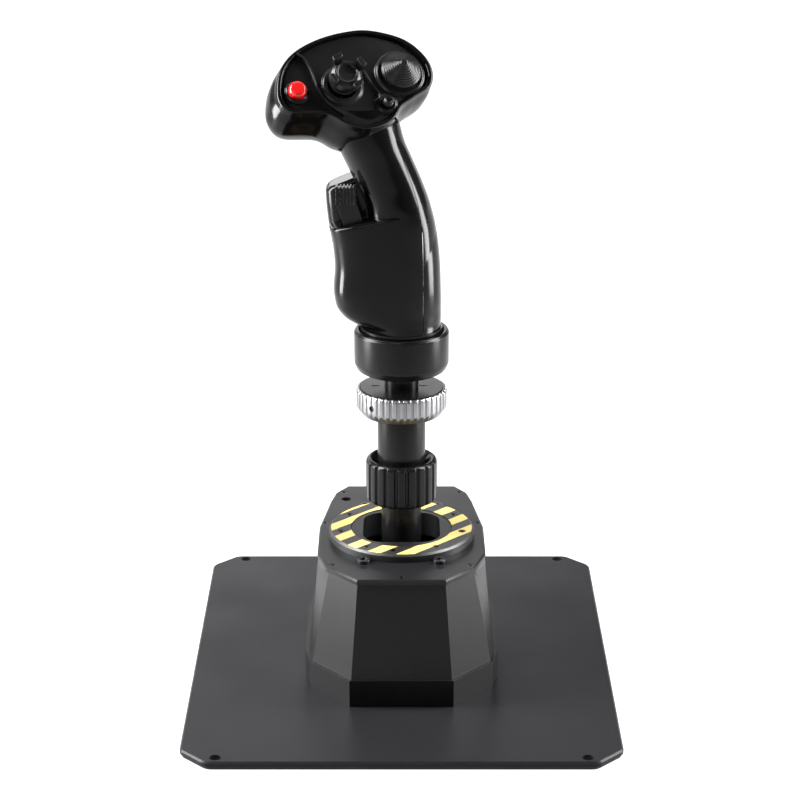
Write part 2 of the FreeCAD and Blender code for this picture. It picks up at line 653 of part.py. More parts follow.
def spring_leg_hole(start, end, axis, side):
    """Hole for a spring's straight leg, beside the pivot at the coil's radius."""
    aside = side * SPRING_RADIUS
    if axis == "x":
        return rod(SPRING_WIRE + 0.3, (side * start, aside, GIMBAL_Z), (side * end, aside, GIMBAL_Z))
    return rod(SPRING_WIRE + 0.3, (aside, side * start, GIMBAL_Z), (aside, side * end, GIMBAL_Z))


def pitch_bearings():
    rings = [ring_along(BEARING_RADIUS, PIVOT_RADIUS + RUNNING_GAP, side * UPRIGHT_INNER,
                        side * UPRIGHT_OUTER, "x") for side in (-1, 1)]
    return group(rings)


def roll_bearings():
    inner = YOKE_HALF_Y - YOKE_WALL
    rings = [ring_along(BEARING_RADIUS, PIVOT_RADIUS + RUNNING_GAP, side * inner, side * YOKE_HALF_Y, "y")
             for side in (-1, 1)]
    return group(rings)


def coil(length):
    """Torsion spring along +Z from the origin, with a straight leg at each end."""
    pitch = (length - 2 * SPRING_WIRE) / SPRING_TURNS
    path = Part.makeLongHelix(pitch, pitch * SPRING_TURNS, SPRING_RADIUS)
    climb = pitch / (2 * math.pi)
    profile = Part.Wire(Part.makeCircle(SPRING_WIRE, vec(SPRING_RADIUS, 0, 0), vec(0, SPRING_RADIUS, climb)))
    shell = Part.Wire(path.Edges).makePipeShell([profile], True, True)
    body = Part.Solid(Part.Shell(shell.Faces))
    if body.Volume < 0:
        body.reverse()
    body.translate(vec(0, 0, SPRING_WIRE))
    low = Part.makeCylinder(SPRING_WIRE, SPRING_LEG + SPRING_WIRE, vec(SPRING_RADIUS, 0, -SPRING_LEG))
    high = Part.makeCylinder(SPRING_WIRE, SPRING_LEG + SPRING_WIRE,
                             vec(SPRING_RADIUS, 0, length - SPRING_WIRE))
    return body.fuse([low, high])


def centring_springs(axis, start, length):
    springs = []
    for side in (-1, 1):
        spring = coil(length)
        if axis == "x":
            spring.rotate(vec(0, 0, 0), vec(0, 1, 0), 90)
            spring.rotate(vec(0, 0, 0), vec(1, 0, 0), 90)
            spring.translate(vec(start, 0, GIMBAL_Z))
        else:
            spring.rotate(vec(0, 0, 0), vec(1, 0, 0), -90)
            spring.translate(vec(0, start, GIMBAL_Z))
        if side < 0:
            spring.rotate(vec(0, 0, GIMBAL_Z), vec(0, 0, 1), 180)
        springs.append(spring)
    return group(springs)


SPRING_CLEARANCE = 0.5


def pitch_springs():
    return centring_springs("x", YOKE_HALF_X + SPRING_CLEARANCE, SPRING_BAY - 2 * SPRING_CLEARANCE)


def roll_springs():
    return centring_springs("y", BLOCK_HALF + SPRING_CLEARANCE, SPRING_BAY - 2 * SPRING_CLEARANCE)


def pitch_yoke():
    """Rectangular ring that swings fore and aft and carries the roll bearings."""
    low = GIMBAL_Z - YOKE_HALF_HEIGHT
    high = GIMBAL_Z + YOKE_HALF_HEIGHT
    ring = block(-YOKE_HALF_X, YOKE_HALF_X, -YOKE_HALF_Y, YOKE_HALF_Y, low, high)
    inner_x = YOKE_HALF_X - YOKE_WALL
    inner_y = YOKE_HALF_Y - YOKE_WALL
    ring = ring.cut(block(-inner_x, inner_x, -inner_y, inner_y, low - 1, high + 1))
    parts = [ring]
    for side in (-1, 1):
        parts.append(rod(PIVOT_RADIUS, (side * inner_x, 0, GIMBAL_Z), (side * PIVOT_END, 0, GIMBAL_Z)))
        start = (side * SENSOR_POST_AT, YOKE_HALF_Y - 1, GIMBAL_Z)
        parts.append(rod(SENSOR_POST_RADIUS, start, (side * SENSOR_POST_AT, ROLL_SENSOR_AT, GIMBAL_Z)))
    yoke = fuse_all(parts)
    cutters = [rod(BEARING_RADIUS, (0, -YOKE_HALF_Y - 1, GIMBAL_Z), (0, YOKE_HALF_Y + 1, GIMBAL_Z))]
    for side in (-1, 1):
        cutters.append(spring_leg_hole(YOKE_HALF_X - SPRING_LEG, YOKE_HALF_X + 1, "x", side))
        cutters.append(spring_leg_hole(inner_y - 0.5, inner_y + SPRING_LEG + 0.6, "y", side))
    return yoke.cut(group(cutters))


def pitch_magnet():
    return ring_along(MAGNET_RADIUS, 0, PIVOT_END, MAGNET_END, "x")


def roll_magnet():
    return ring_along(MAGNET_RADIUS, 0, TRUNNION_END, ROLL_MAGNET_END, "y")


def pitch_sensor_board():
    board = block(SENSOR_AT, SENSOR_AT + SENSOR_BOARD, -9, 9, GIMBAL_Z - 13, GIMBAL_Z + 8)
    chip = block(SENSOR_AT - 0.8, SENSOR_AT, -2.5, 2.5, GIMBAL_Z - 2.5, GIMBAL_Z + 2.5)
    return board.fuse(chip)


def roll_sensor_board():
    board = block(-13, 13, ROLL_SENSOR_AT, ROLL_SENSOR_AT + SENSOR_BOARD, GIMBAL_Z - 7, GIMBAL_Z + 7)
    chip = block(-2.5, 2.5, ROLL_SENSOR_AT - 0.8, ROLL_SENSOR_AT, GIMBAL_Z - 2.5, GIMBAL_Z + 2.5)
    return board.fuse(chip)


def roll_block():
    """Block that the shaft is bolted into, with a trunnion at each end."""
    body = block(-BLOCK_HALF, BLOCK_HALF, -BLOCK_HALF, BLOCK_HALF,
                 GIMBAL_Z - BLOCK_HALF_HEIGHT, GIMBAL_Z + BLOCK_HALF_HEIGHT)
    trunnions = ring_along(PIVOT_RADIUS, 0, -TRUNNION_END, TRUNNION_END, "y")
    body = fuse_all([body, trunnions])
    cutters = [cylinder(SPIGOT_RADIUS, GIMBAL_Z, GIMBAL_Z + BLOCK_HALF_HEIGHT + 1)]
    cutters.append(cylinder(2.5, GIMBAL_Z - BLOCK_HALF_HEIGHT - 1, GIMBAL_Z + 1))
    for side in (-1, 1):
        cutters.append(spring_leg_hole(BLOCK_HALF - SPRING_LEG, BLOCK_HALF + 1, "y", side))
    return body.cut(group(cutters))


# ---- stick stack ----------------------------------------------------------------------------------


def shaft():
    """Steel shaft: a spigot in the roll block, the visible post and the thread under the tube."""
    low = GIMBAL_Z + BLOCK_HALF_HEIGHT
    spigot = cylinder(SPIGOT_RADIUS, GIMBAL_Z, low)
    post = cylinder(SHAFT_RADIUS, low, SHAFT_TOP)
    bore = cylinder(2.5, GIMBAL_Z - 1, GIMBAL_Z + 16)
    return fuse_all([spigot, post]).cut(bore)


def shaft_bolt():
    low = GIMBAL_Z - BLOCK_HALF_HEIGHT
    return cap_bolt(2.5, 4.5, low, low - 4.0, GIMBAL_Z + 14)


def cap_bolt(radius, head_radius, seat, head_end, tip):
    """Bolt driven upwards, its head below the seat."""
    return cylinder(head_radius, head_end, seat).fuse(cylinder(radius, seat, tip))


def extension_tube():
    outer = cylinder(TUBE_RADIUS, SHAFT_TOP, TUBE_TOP)
    return outer.cut(cylinder(TUBE_RADIUS - TUBE_WALL, SHAFT_TOP - 1, TUBE_TOP + 1))


def ribbed(radius, depth, low, high, count, share):
    """Cylinder with straight grooves round it; share is the part of the pitch left as rib."""
    body = cylinder(radius, low, high)
    pitch = 2 * math.pi * radius / count
    half = pitch * (1 - share) / 2
    groove = block(radius - depth, radius + 1, -half, half, low - 1, high + 1)
    grooves = []
    for k in range(count):
        cutter = groove.copy()
        cutter.rotate(vec(0, 0, 0), vec(0, 0, 1), 360.0 * k / count)
        grooves.append(cutter)
    return body.cut(group(grooves))


def locking_knob():
    body = ribbed(KNOB_RADIUS, 1.3, KNOB_BOTTOM, KNOB_TOP, KNOB_RIBS, 0.62)
    bore = fuse_all([cylinder(SHAFT_RADIUS + TURN_GAP, KNOB_BOTTOM - 1, SHAFT_TOP),
                     cylinder(TUBE_RADIUS + TURN_GAP, SHAFT_TOP, KNOB_TOP + 1)])
    cone = Part.makeCone(TUBE_RADIUS, KNOB_RADIUS - 3.0, 3.0, vec(0, 0, KNOB_TOP - 3.0))
    return body.cut(fuse_all([bore, cone]))


LOCK_RING_SCREW_ANGLE = 229.0
LOCK_RING_SCREW_DROP = 1.2
LOCK_RING_SCREW_RADIUS = 1.7
SEAT_GAP = 0.3


def lock_ring():
    """Knurled ring nut that pulls the grip's stub onto the coupling."""
    body = ribbed(LOCK_RING_RADIUS, 0.7, LOCK_RING_BOTTOM + 4.0, LOCK_RING_TOP, LOCK_RING_RIBS, 0.6)
    skirt = Part.makeCone(LOCK_RING_RADIUS - 3.2, LOCK_RING_RADIUS - 0.9, 4.0, vec(0, 0, LOCK_RING_BOTTOM))
    body = fuse_all([body, skirt])
    bore = fuse_all([cylinder(TUBE_RADIUS + TURN_GAP, LOCK_RING_BOTTOM - 1, TUBE_TOP),
                     cylinder(COUPLING_RADIUS + TURN_GAP, TUBE_TOP - SEAT_GAP, LOCK_RING_TOP + 1)])
    return body.cut(fuse_all([bore, lock_screw_hole()]))


def lock_screw_hole():
    return lock_screw_pin(LOCK_RING_SCREW_RADIUS, COUPLING_RADIUS - 1, LOCK_RING_RADIUS + 1)


def lock_screw_pin(radius, start, end):
    a = math.radians(LOCK_RING_SCREW_ANGLE)
    z = (LOCK_RING_BOTTOM + 4.0 + LOCK_RING_TOP) / 2 - LOCK_RING_SCREW_DROP
    c, s = math.cos(a), math.sin(a)
    return rod(radius, (start * c, start * s, z), (end * c, end * s, z))


def lock_ring_screw():
    return lock_screw_pin(LOCK_RING_SCREW_RADIUS, COUPLING_RADIUS + TURN_GAP + 0.2, LOCK_RING_RADIUS - 1.2)


def coupling_head():
    """Dark disc that closes the tube's top, with a spigot in the tube and two spanner slots."""
    disc = cylinder(COUPLING_RADIUS, TUBE_TOP, COUPLING_TOP)
    spigot = cylinder(TUBE_RADIUS - TUBE_WALL, TUBE_TOP - 12, TUBE_TOP)
    slots = [block(x - 2.2, x + 2.2, -0.7, 0.7, COUPLING_TOP - 1.5, COUPLING_TOP + 1) for x in (-15.5, 12.5)]
    socket = cylinder(NECK_RADIUS - 3.0, COUPLING_TOP - 8, COUPLING_TOP + 1)
    return fuse_all([disc, spigot]).cut(group(slots + [socket]))


def connector_stub():
    """The grip's plug: pin, neck and the flange that the collar draws down."""
    pin = cylinder(NECK_RADIUS - 3.0, COUPLING_TOP - 7, COUPLING_TOP)
    neck = cylinder(NECK_RADIUS, COUPLING_TOP, FLANGE_BOTTOM)
    flange = cylinder(FLANGE_RADIUS, FLANGE_BOTTOM, FLANGE_TOP)
    return fuse_all([pin, neck, flange])


def collar():
    """Screw collar: bevelled below, open above, turning on the grip's foot."""
    mouth = FLANGE_RADIUS + 1.0
    round_start = vec(COLLAR_RADIUS, 0, COLLAR_BOTTOM + 4.8)
    round_middle = vec(COLLAR_RADIUS - 2.0, 0, COLLAR_BOTTOM + 1.6)
    low = vec(mouth, 0, COLLAR_BOTTOM)
    outline = [Part.Arc(low, round_middle, round_start).toShape()]
    corners = [round_start, vec(COLLAR_RADIUS, 0, COLLAR_TOP - 1), vec(COLLAR_RADIUS - 1, 0, COLLAR_TOP),
               vec(0, 0, COLLAR_TOP), vec(0, 0, COLLAR_BOTTOM), low]
    outline += [Part.makeLine(a, b) for a, b in zip(corners, corners[1:])]
    body = Part.Face(Part.Wire(outline)).revolve(vec(0, 0, 0), vec(0, 0, 1), 360)
    bore = fuse_all([cylinder(FLANGE_RADIUS + 0.5, COLLAR_BOTTOM - 1, FLANGE_TOP + 1),
                     cylinder(GRIP_FOOT_RADIUS + TURN_GAP, FLANGE_TOP - SEAT_GAP, COLLAR_TOP + 1)])
    nub = rod(1.4, (-COLLAR_RADIUS + 1, 0, 195.0), (-COLLAR_RADIUS - 0.9, 0, 195.0))
    return fuse_all([body, nub]).cut(bore)


def grip_foot():
    return tube(GRIP_FOOT_RADIUS, GRIP_FOOT_RADIUS - 6.0, FLANGE_TOP, GRIP_FOOT_TOP)


# ---- grip shells ---------------------------------------------------------------------------------------


def egg(level, wall=0.0):
    """Closed smooth outline at one height: a superellipse with its own reach on each side."""
    z, left, right, back, front, left_power, right_power = level
    left, right, back, front = left + wall, right - wall, back + wall, front - wall
    cx = (left + right) / 2
    cy = (back + front) / 2
    a, b = (right - left) / 2, (front - back) / 2
    points = []
    for k in range(24):
        t = 2 * math.pi * k / 24
        c, s = math.cos(t), math.sin(t)
        power = right_power if c > 0 else left_power
        x = cx + a * math.copysign(abs(c) ** (2 / power), c)
        y = cy + b * math.copysign(abs(s) ** (2 / power), s)
        points.append(vec(x, y, z))
    curve = Part.BSplineCurve()
    curve.interpolate(points, PeriodicFlag=True)
    return Part.Wire(curve.toShape())


def levels_loft(levels, wall=0.0):
    return Part.makeLoft([egg(level, wall) for level in levels], True, False)


def above_plane(x, z, slope):
    """Everything above a plane that passes through (x, z) and climbs towards +X."""
    left, right = -60.0, 40.0
    z_left = z + (left - x) * slope
    z_right = z + (right - x) * slope
    corners = [vec(left, -60, z_left), vec(right, -60, z_right), vec(right, -60, 400), vec(left, -60, 400)]
    return Part.Face(Part.makePolygon(corners + corners[:1])).extrude(vec(0, 120, 0))


def grip_body(wall=0.0):
    palm = levels_loft(PALM_LEVELS, wall).cut(above_plane(LEDGE_X, LEDGE_Z - wall, LEDGE_SLOPE))
    column = levels_loft(COLUMN_LEVELS, wall)
    pod = levels_loft(POD_LEVELS, wall)
    pod = pod.cut(above_plane(POD_LEVELS[2][1], POD_TOP_LEFT - wall, POD_TOP_SLOPE))
    return palm.fuse([column, pod])


def seam_side():
    """Everything to the right of the seam between the half shells."""
    points = [vec(x, -60, z) for z, x in SEAM_POINTS]
    curve = Part.BSplineCurve()
    curve.interpolate(points)
    low, high = points[0], points[-1]
    far = 80.0
    edges = [curve.toShape(), Part.makeLine(high, vec(far, -60, high.z)),
             Part.makeLine(vec(far, -60, high.z), vec(far, -60, low.z)),
             Part.makeLine(vec(far, -60, low.z), low)]
    return Part.Face(Part.Wire(edges)).extrude(vec(0, 120, 0))


TRIGGER_X = -13.0
TRIGGER_HALF = 5.0
TRIGGER_PIVOT = (17.0, 317.0)
TRIGGER_PIN_RADIUS = 1.5
TRIGGER_SLOT_GAP = 0.6
PADDLE_X = -6.0
PADDLE_HALF = 6.0
PADDLE_PIVOT = (24.0, 271.0)
PADDLE_LENGTH = 36.0
SELECTOR_X = -27.2
SELECTOR_PIVOT = (-13.0, 270.0)
SELECTOR_HALF = 5.8
SELECTOR_SIDE_GAP = 1.2
SELECTOR_SLOT_HALF = 4.6
PINKY_AT = (-6.0, 284.0)
PINKY_RADIUS = 4.5
PLUNGE_GAP = 0.3


def trigger_pocket():
    y, z = TRIGGER_PIVOT
    half = TRIGGER_HALF + TRIGGER_SLOT_GAP
    return block(TRIGGER_X - half, TRIGGER_X + half, y - 6, y + 30, z - 30, z + 6)


def paddle_pocket():
    y, z = PADDLE_PIVOT
    half = PADDLE_HALF + TRIGGER_SLOT_GAP
    return block(PADDLE_X - half, PADDLE_X + half, y - 5, y + 20, z - PADDLE_LENGTH - 2, z + 4)


def selector_well():
    y, z = SELECTOR_PIVOT
    half = SELECTOR_HALF + SELECTOR_SIDE_GAP
    well = block(SELECTOR_X - half, SELECTOR_X + half,
                 y - SELECTOR_SLOT_HALF, y + SELECTOR_SLOT_HALF, z - 8, z + 30)
    return well.cut(above_plane(LEDGE_X, LEDGE_Z + 1, LEDGE_SLOPE))


def grip_cavity():
    inner = grip_body(GRIP_WALL)
    throat = cylinder(GRIP_FOOT_RADIUS - 6.0, GRIP_FOOT_TOP - 1, 236.0)
    return inner.fuse(throat)


def grip_shell_blank():
    """Whole hollow grip before it is split along its seam."""
    shell = largest(grip_body().cut(head_solid())).cut(grip_cavity())
    ears = []
    y, z = TRIGGER_PIVOT
    for side in (-1, 1):
        face = TRIGGER_X + side * (TRIGGER_HALF + TRIGGER_SLOT_GAP)
        ears.append(block(*sorted((face, face + side * 2.5)), y - 6, y + 5, z - 6, z + 6))
    y, z = PADDLE_PIVOT
    for side in (-1, 1):
        face = PADDLE_X + side * (PADDLE_HALF + TRIGGER_SLOT_GAP)
        ears.append(block(*sorted((face, face + side * 2.5)), y - 5, y + 3, z - 5, z + 4))
    y, z = SELECTOR_PIVOT
    half = SELECTOR_HALF + SELECTOR_SIDE_GAP
    for side in (-1, 1):
        face = SELECTOR_X + side * half
        ears.append(block(*sorted((face, face + side * 2.0)), y - SELECTOR_SLOT_HALF, y + SELECTOR_SLOT_HALF,
                          z - 8, z + 5))
    floor = block(SELECTOR_X - half - 2.0, SELECTOR_X + half + 2.0, y - SELECTOR_SLOT_HALF - 2.0,
                  y + SELECTOR_SLOT_HALF + 2.0, z - 10, z - 8)
    bosses = [rod(BOSS_RADIUS, (-60, by, bz), (60, by, bz)) for by, bz, _ in GRIP_BOSSES]
    inside = group(ears + [floor] + bosses).common(grip_body(GRIP_WALL / 2))
    rails = group(board_rails()).common(grip_body(GRIP_WALL / 2))
    return shell.fuse(inside.Solids + rails.Solids)


GRIP_BOARD_Y = -1.0
GRIP_BOARD_LOW = 233.0
GRIP_BOARD_HIGH = 258.0
GRIP_BOARD_HALF = 11.0
GRIP_BOARD_X = -10.0


def board_rails():
    """Two posts that rise from the back wall to the grip's circuit board."""
    posts = []
    for z in (GRIP_BOARD_LOW + 4, GRIP_BOARD_HIGH - 4):
        posts.append(rod(2.5, (GRIP_BOARD_X, -40, z), (GRIP_BOARD_X, GRIP_BOARD_Y, z)))
    return posts


def grip_circuit_board():
    x = GRIP_BOARD_X
    board = block(x - GRIP_BOARD_HALF, x + GRIP_BOARD_HALF, GRIP_BOARD_Y, GRIP_BOARD_Y + BOARD_THICKNESS,
                  GRIP_BOARD_LOW, GRIP_BOARD_HIGH)
    chip = block(x - 4, x + 4, GRIP_BOARD_Y + BOARD_THICKNESS, GRIP_BOARD_Y + BOARD_THICKNESS + 1.2, 241, 249)
    return board.fuse(chip)


def grip_cutters():
    cutters = [trigger_pocket(), paddle_pocket(), selector_well()]
    for pivot, x, half in ((TRIGGER_PIVOT, TRIGGER_X, TRIGGER_HALF), (PADDLE_PIVOT, PADDLE_X, PADDLE_HALF),
                           (SELECTOR_PIVOT, SELECTOR_X, SELECTOR_HALF + 0.6)):
        reach = half + TRIGGER_SLOT_GAP + 2.0
        cutters.append(rod(TRIGGER_PIN_RADIUS, (x - reach, *pivot), (x + reach, *pivot)))
    px, pz = PINKY_AT
    cutters.append(rod(PINKY_RADIUS + PLUNGE_GAP, (px, 6, pz), (px, 40, pz)))
    for y, z, reach in GRIP_BOSSES:
        seat = seam_at(z) + reach
        cutters.append(rod(GRIP_SCREW_RADIUS, (seat - GRIP_SCREW_LENGTH - 1, y, z), (60, y, z)))
        cutters.append(rod(GRIP_SCREW_RADIUS * 2, (seat, y, z), (60, y, z)))
    return cutters


def seam_at(z):
    for (z0, x0), (z1, x1) in zip(SEAM_POINTS, SEAM_POINTS[1:]):
        if z0 <= z <= z1:
            return x0 + (x1 - x0) * (z - z0) / (z1 - z0)
    return SEAM_POINTS[-1][1]


def grip_screws():
    screws = []
    for y, z, reach in GRIP_BOSSES:
        seat = seam_at(z) + reach
        shank = rod(GRIP_SCREW_RADIUS, (seat - GRIP_SCREW_LENGTH, y, z), (seat, y, z))
        head = rod(GRIP_SCREW_RADIUS * 1.8, (seat, y, z), (seat + GRIP_SCREW_HEAD_HEIGHT, y, z))
        screws.append(shank.fuse(head))
    return group(screws)


# ---- head -------------------------------------------------------------------------------------------------


def head_axes():
    """The face's outward normal and its two in-plane directions."""
    rise, yaw, roll = (math.radians(a) for a in (HEAD_RISE, HEAD_YAW, HEAD_ROLL))
    normal = vec(math.cos(rise) * math.sin(yaw), -math.cos(rise) * math.cos(yaw), math.sin(rise))
    level = vec(math.cos(yaw), math.sin(yaw), 0)
    climb = normal.cross(level)
    right = level * math.cos(roll) + climb * math.sin(roll)
    return normal, right, normal.cross(right)


NORMAL, RIGHT, UP = head_axes()


def on_head(u, v, height=0.0):
    return vec(*HEAD_CENTRE) + RIGHT * u + UP * v + NORMAL * height


def head_wire(depth, scale, sink=(0.0, 0.0)):
    """Face outline scaled about its middle, at a depth behind the face."""
    mu, mv = FACE_MIDDLE
    points = []
    for u, v in FACE_OUTLINE:
        points.append(on_head(mu + (u - mu) * scale + sink[0], mv + (v - mv) * scale + sink[1], -depth))
    curve = Part.BSplineCurve()
    curve.interpolate(points, PeriodicFlag=True)
    return Part.Wire(curve.toShape())


def head_loft(sections):
    return Part.makeLoft([head_wire(*section) for section in sections], True, False)


HEAD_SEAT_SCALE = 1.012
HEAD_SECTIONS = [
    (BEZEL_DEPTH, 1.0, (-0.4, -0.3)), (12.0, 1.02, (-2.0, -1.6)), (20.0, 1.01, (-3.4, -2.6)),
    (28.0, 0.95, (-3.8, -2.8)), (34.0, 0.82, (-3.8, -2.4)), (HEAD_DEPTH, 0.62, (-3.8, -2.0)),
]


def head_solid():
    """Whole head without its hollow, a little large, as the seat cut in the grip."""
    grown = [(0.0, HEAD_SEAT_SCALE)]
    for depth, scale, *sink in HEAD_SECTIONS:
        grown.append((depth, scale * HEAD_SEAT_SCALE, *sink))
    return head_loft(grown)


def head_shell():
    outer = head_loft(HEAD_SECTIONS)
    inner = head_loft([(BEZEL_DEPTH - 1, 0.92), (12.0, 0.94, (-2.0, -1.6)), (20.0, 0.92, (-3.4, -2.6)),
                       (28.0, 0.85, (-3.8, -2.8)), (34.0, 0.66, (-3.8, -2.4))])
    return outer.cut(inner).cut(trigger_pocket())


def head_bezel():
    """Rim that frames the switch panel."""
    outer = head_loft([(0.0, 0.975), (1.2, 1.0), (BEZEL_DEPTH, 1.0, (-0.4, -0.3))])
    inner = head_loft([(-1.0, 0.90), (BEZEL_DEPTH + 1, 0.90)])
    return outer.cut(inner)


def switch_panel():
    """Sunken plate inside the rim, with an opening for each switch."""
    top = FACE_RECESS
    panel = head_loft([(top, 0.899), (top + FACE_PLATE, 0.899)])
    cutters = []
    holes = ((CASTLE_AT, HAT_HOLE), (TRIM_AT, HAT_HOLE), (THUMB_BUTTON_AT, THUMB_RADIUS + PLUNGE_GAP),
             (SMALL_BUTTON_AT, SMALL_RADIUS + PLUNGE_GAP))
    for (u, v), radius in holes:
        cutters.append(head_rod(radius, u, v, -top - FACE_PLATE - 1, -top + 1))
    return panel.cut(group(cutters))


HAT_HOLE = 8.4
THUMB_RADIUS = 5.2
THUMB_TOP = 4.0
SMALL_RADIUS = 3.4
SMALL_TOP = 2.2
PIN_RADIUS = 1.0
PLUNGER_STOP = 0.9
HAT_PIVOT = -9.5


def head_rod(radius, u, v, low, high):
    return rod(radius, tuple(on_head(u, v, low)), tuple(on_head(u, v, high)))


def head_block(u, v, u0, u1, v0, v1, low, high):
    """Box in the head's own directions, measured from (u, v)."""
    box = block(u0, u1, v0, v1, low, high)
    matrix = FreeCAD.Matrix(RIGHT.x, UP.x, NORMAL.x, 0, RIGHT.y, UP.y, NORMAL.y, 0,
                            RIGHT.z, UP.z, NORMAL.z, 0, 0, 0, 0, 1)
    box = box.transformed(matrix)
    box.translate(on_head(u, v, 0))
    return box


def head_cross_rod(radius, u, v, height, direction, start, end):
    """Rod along the head's u or v direction, between two distances from (u, v)."""
    if direction == "u":
        return rod(radius, tuple(on_head(u + start, v, height)), tuple(on_head(u + end, v, height)))
    return rod(radius, tuple(on_head(u, v + start, height)), tuple(on_head(u, v + end, height)))


def hat_cross(place):
    """Small cross-shaped gimbal piece: one pair of pins in the switch, one pair in the hat."""
    u, v = place
    core = head_block(u, v, -2.4, 2.4, -2.4, 2.4, HAT_PIVOT - 1.8, HAT_PIVOT + 1.8)
    along_u = head_cross_rod(PIN_RADIUS, u, v, HAT_PIVOT, "u", -4.6, 4.6)
    along_v = head_cross_rod(PIN_RADIUS, u, v, HAT_PIVOT, "v", -4.6, 4.6)
    return fuse_all([core, along_u, along_v])


def hat_switch_body(place):
    """Switch block under the panel, with two ears for the cross's pins."""
    u, v = place
    low = HAT_PIVOT - 10.0
    parts = [head_block(u, v, -6.5, 6.5, -6.5, 6.5, low, HAT_PIVOT - 4.5)]
    seat = -FACE_RECESS - FACE_PLATE
    for side in (-1, 1):
        ear = sorted((side * 3.0, side * 4.7))
        post = sorted((side * 5.0, side * 6.5))
        parts.append(head_block(u, v, *ear, -2.5, 2.5, low + 1, HAT_PIVOT + 2.2))
        parts.append(head_block(u, v, *post, 5.0, 6.5, low + 1, seat))
        parts.append(head_block(u, v, *post, -6.5, -5.0, low + 1, seat))
    body = fuse_all(parts)
    return body.cut(head_cross_rod(PIN_RADIUS + RUNNING_GAP, u, v, HAT_PIVOT, "u", -6, 6))


def hat_fork(place, top):
    """Fork and stem that join a hat to its cross."""
    u, v = place
    parts = [head_rod(3.4, u, v, HAT_PIVOT + 4.5, top)]
    parts.append(head_block(u, v, -2.3, 2.3, -4.6, 4.6, HAT_PIVOT + 3.0, HAT_PIVOT + 5.0))
    for side in (-1, 1):
        tine = sorted((side * 3.0, side * 4.6))
        parts.append(head_block(u, v, -2.3, 2.3, *tine, HAT_PIVOT - 2.0, HAT_PIVOT + 4.0))
    fork = fuse_all(parts)
    return fork.cut(head_cross_rod(PIN_RADIUS + RUNNING_GAP, u, v, HAT_PIVOT, "v", -6, 6))


CASTLE_TOP = 17.0
CASTLE_RADIUS = 9.2


def castle_hat():
    """Hat with a waisted stem and four prongs round a dished top."""
    u, v = CASTLE_AT
    fork = hat_fork(CASTLE_AT, 6.0)
    skirt = Part.makeCone(5.8, 4.2, 4.0, on_head(u, v, -0.5), NORMAL)
    crown = Part.makeCone(4.2, CASTLE_RADIUS, CASTLE_TOP - 9.0, on_head(u, v, 3.5), NORMAL)
    cap = head_rod(CASTLE_RADIUS, u, v, CASTLE_TOP - 5.5, CASTLE_TOP)
    cap = cap.cut(head_rod(CASTLE_RADIUS - 3.6, u, v, CASTLE_TOP - 3.0, CASTLE_TOP + 1))
    hat = fuse_all([fork, skirt, crown, cap])
    slots = []
    for turn in (45, 135):
        slot = block(-12, 12, -2.2, 2.2, CASTLE_TOP - 3.4, CASTLE_TOP + 1)
        slot.rotate(vec(0, 0, 0), vec(0, 0, 1), turn)
        matrix = FreeCAD.Matrix(RIGHT.x, UP.x, NORMAL.x, 0, RIGHT.y, UP.y, NORMAL.y, 0,
                                RIGHT.z, UP.z, NORMAL.z, 0, 0, 0, 0, 1)
        slot = slot.transformed(matrix)
        slot.translate(on_head(u, v, 0))
        slots.append(slot)
    return hat.cut(group(slots))


TRIM_RADIUS = 11.4
TRIM_STEPS = 5
TRIM_STEP_IN = 1.7
TRIM_STEP_HEIGHT = 1.9
TRIM_LOW = 1.4
TRIM_STEP_LAP = 0.2
CASTLE_RING_RADIUS = 11.6
CASTLE_RING_TOP = -0.8
TRIM_RING_GAP = 0.6
TRIM_RING_RADIUS = 14.0
TRIM_RING_TOP = -0.9
THUMB_RING_RADIUS = 7.0
THUMB_RING_TOP = 0.6
THUMB_STEM_RADIUS = 2.0
SMALL_STEM_RADIUS = 1.6


def trim_hat():
    """Broad stepped cone with a small flat tip."""
    u, v = TRIM_AT
    parts = [hat_fork(TRIM_AT, 3.0)]
    for k in range(TRIM_STEPS):
        low = TRIM_LOW + TRIM_STEP_HEIGHT * k
        lap = TRIM_STEP_LAP if k else 0.0
        parts.append(head_rod(TRIM_RADIUS - TRIM_STEP_IN * k, u, v, low - lap, low + TRIM_STEP_HEIGHT))
    return fuse_all(parts)


def hat_base_ring(place, inner, outer, top):
    """Low raised ring on the panel round a hat."""
    u, v = place
    low = -FACE_RECESS
    ring = Part.makeCone(outer, outer - 1.2, top - low, on_head(u, v, low), NORMAL)
    return ring.cut(head_rod(inner, u, v, low - 1, top + 1))


def plunger(place, radius, stem_radius, top):
    """Push button: a cap, a stop that keeps it under the panel and a stem."""
    u, v = place
    seat = -FACE_RECESS - FACE_PLATE
    cap = head_rod(radius, u, v, seat - 1.0, top)
    stop = head_rod(radius + PLUNGER_STOP, u, v, seat - 2.0, seat - 0.3)
    stem = head_rod(stem_radius, u, v, seat - 6.0, seat - 1.0)
    return fuse_all([cap, stop, stem])


def plunger_switch(place, stem_radius, cap_radius):
    """Round switch under the panel: a cup for the cap's stop and a guide for its stem."""
    u, v = place
    seat = -FACE_RECESS - FACE_PLATE
    floor = seat - 4.2
    cup_radius = cap_radius + PLUNGER_STOP + PLUNGE_GAP
    body = head_rod(cup_radius + 0.8, u, v, floor - 6.0, seat)
    body = body.cut(head_rod(cup_radius, u, v, floor, seat + 1))
    return body.cut(head_rod(stem_radius + RUNNING_GAP, u, v, floor - 4.5, floor + 1))


# ---- levers and side controls --------------------------------------------------------------------------------


def side_prism(points, x0, x1):
    """Outline in the YZ plane extruded along X."""
    corners = [vec(x0, y, z) for y, z in points]
    return Part.Face(Part.makePolygon(corners + corners[:1])).extrude(vec(x1 - x0, 0, 0))


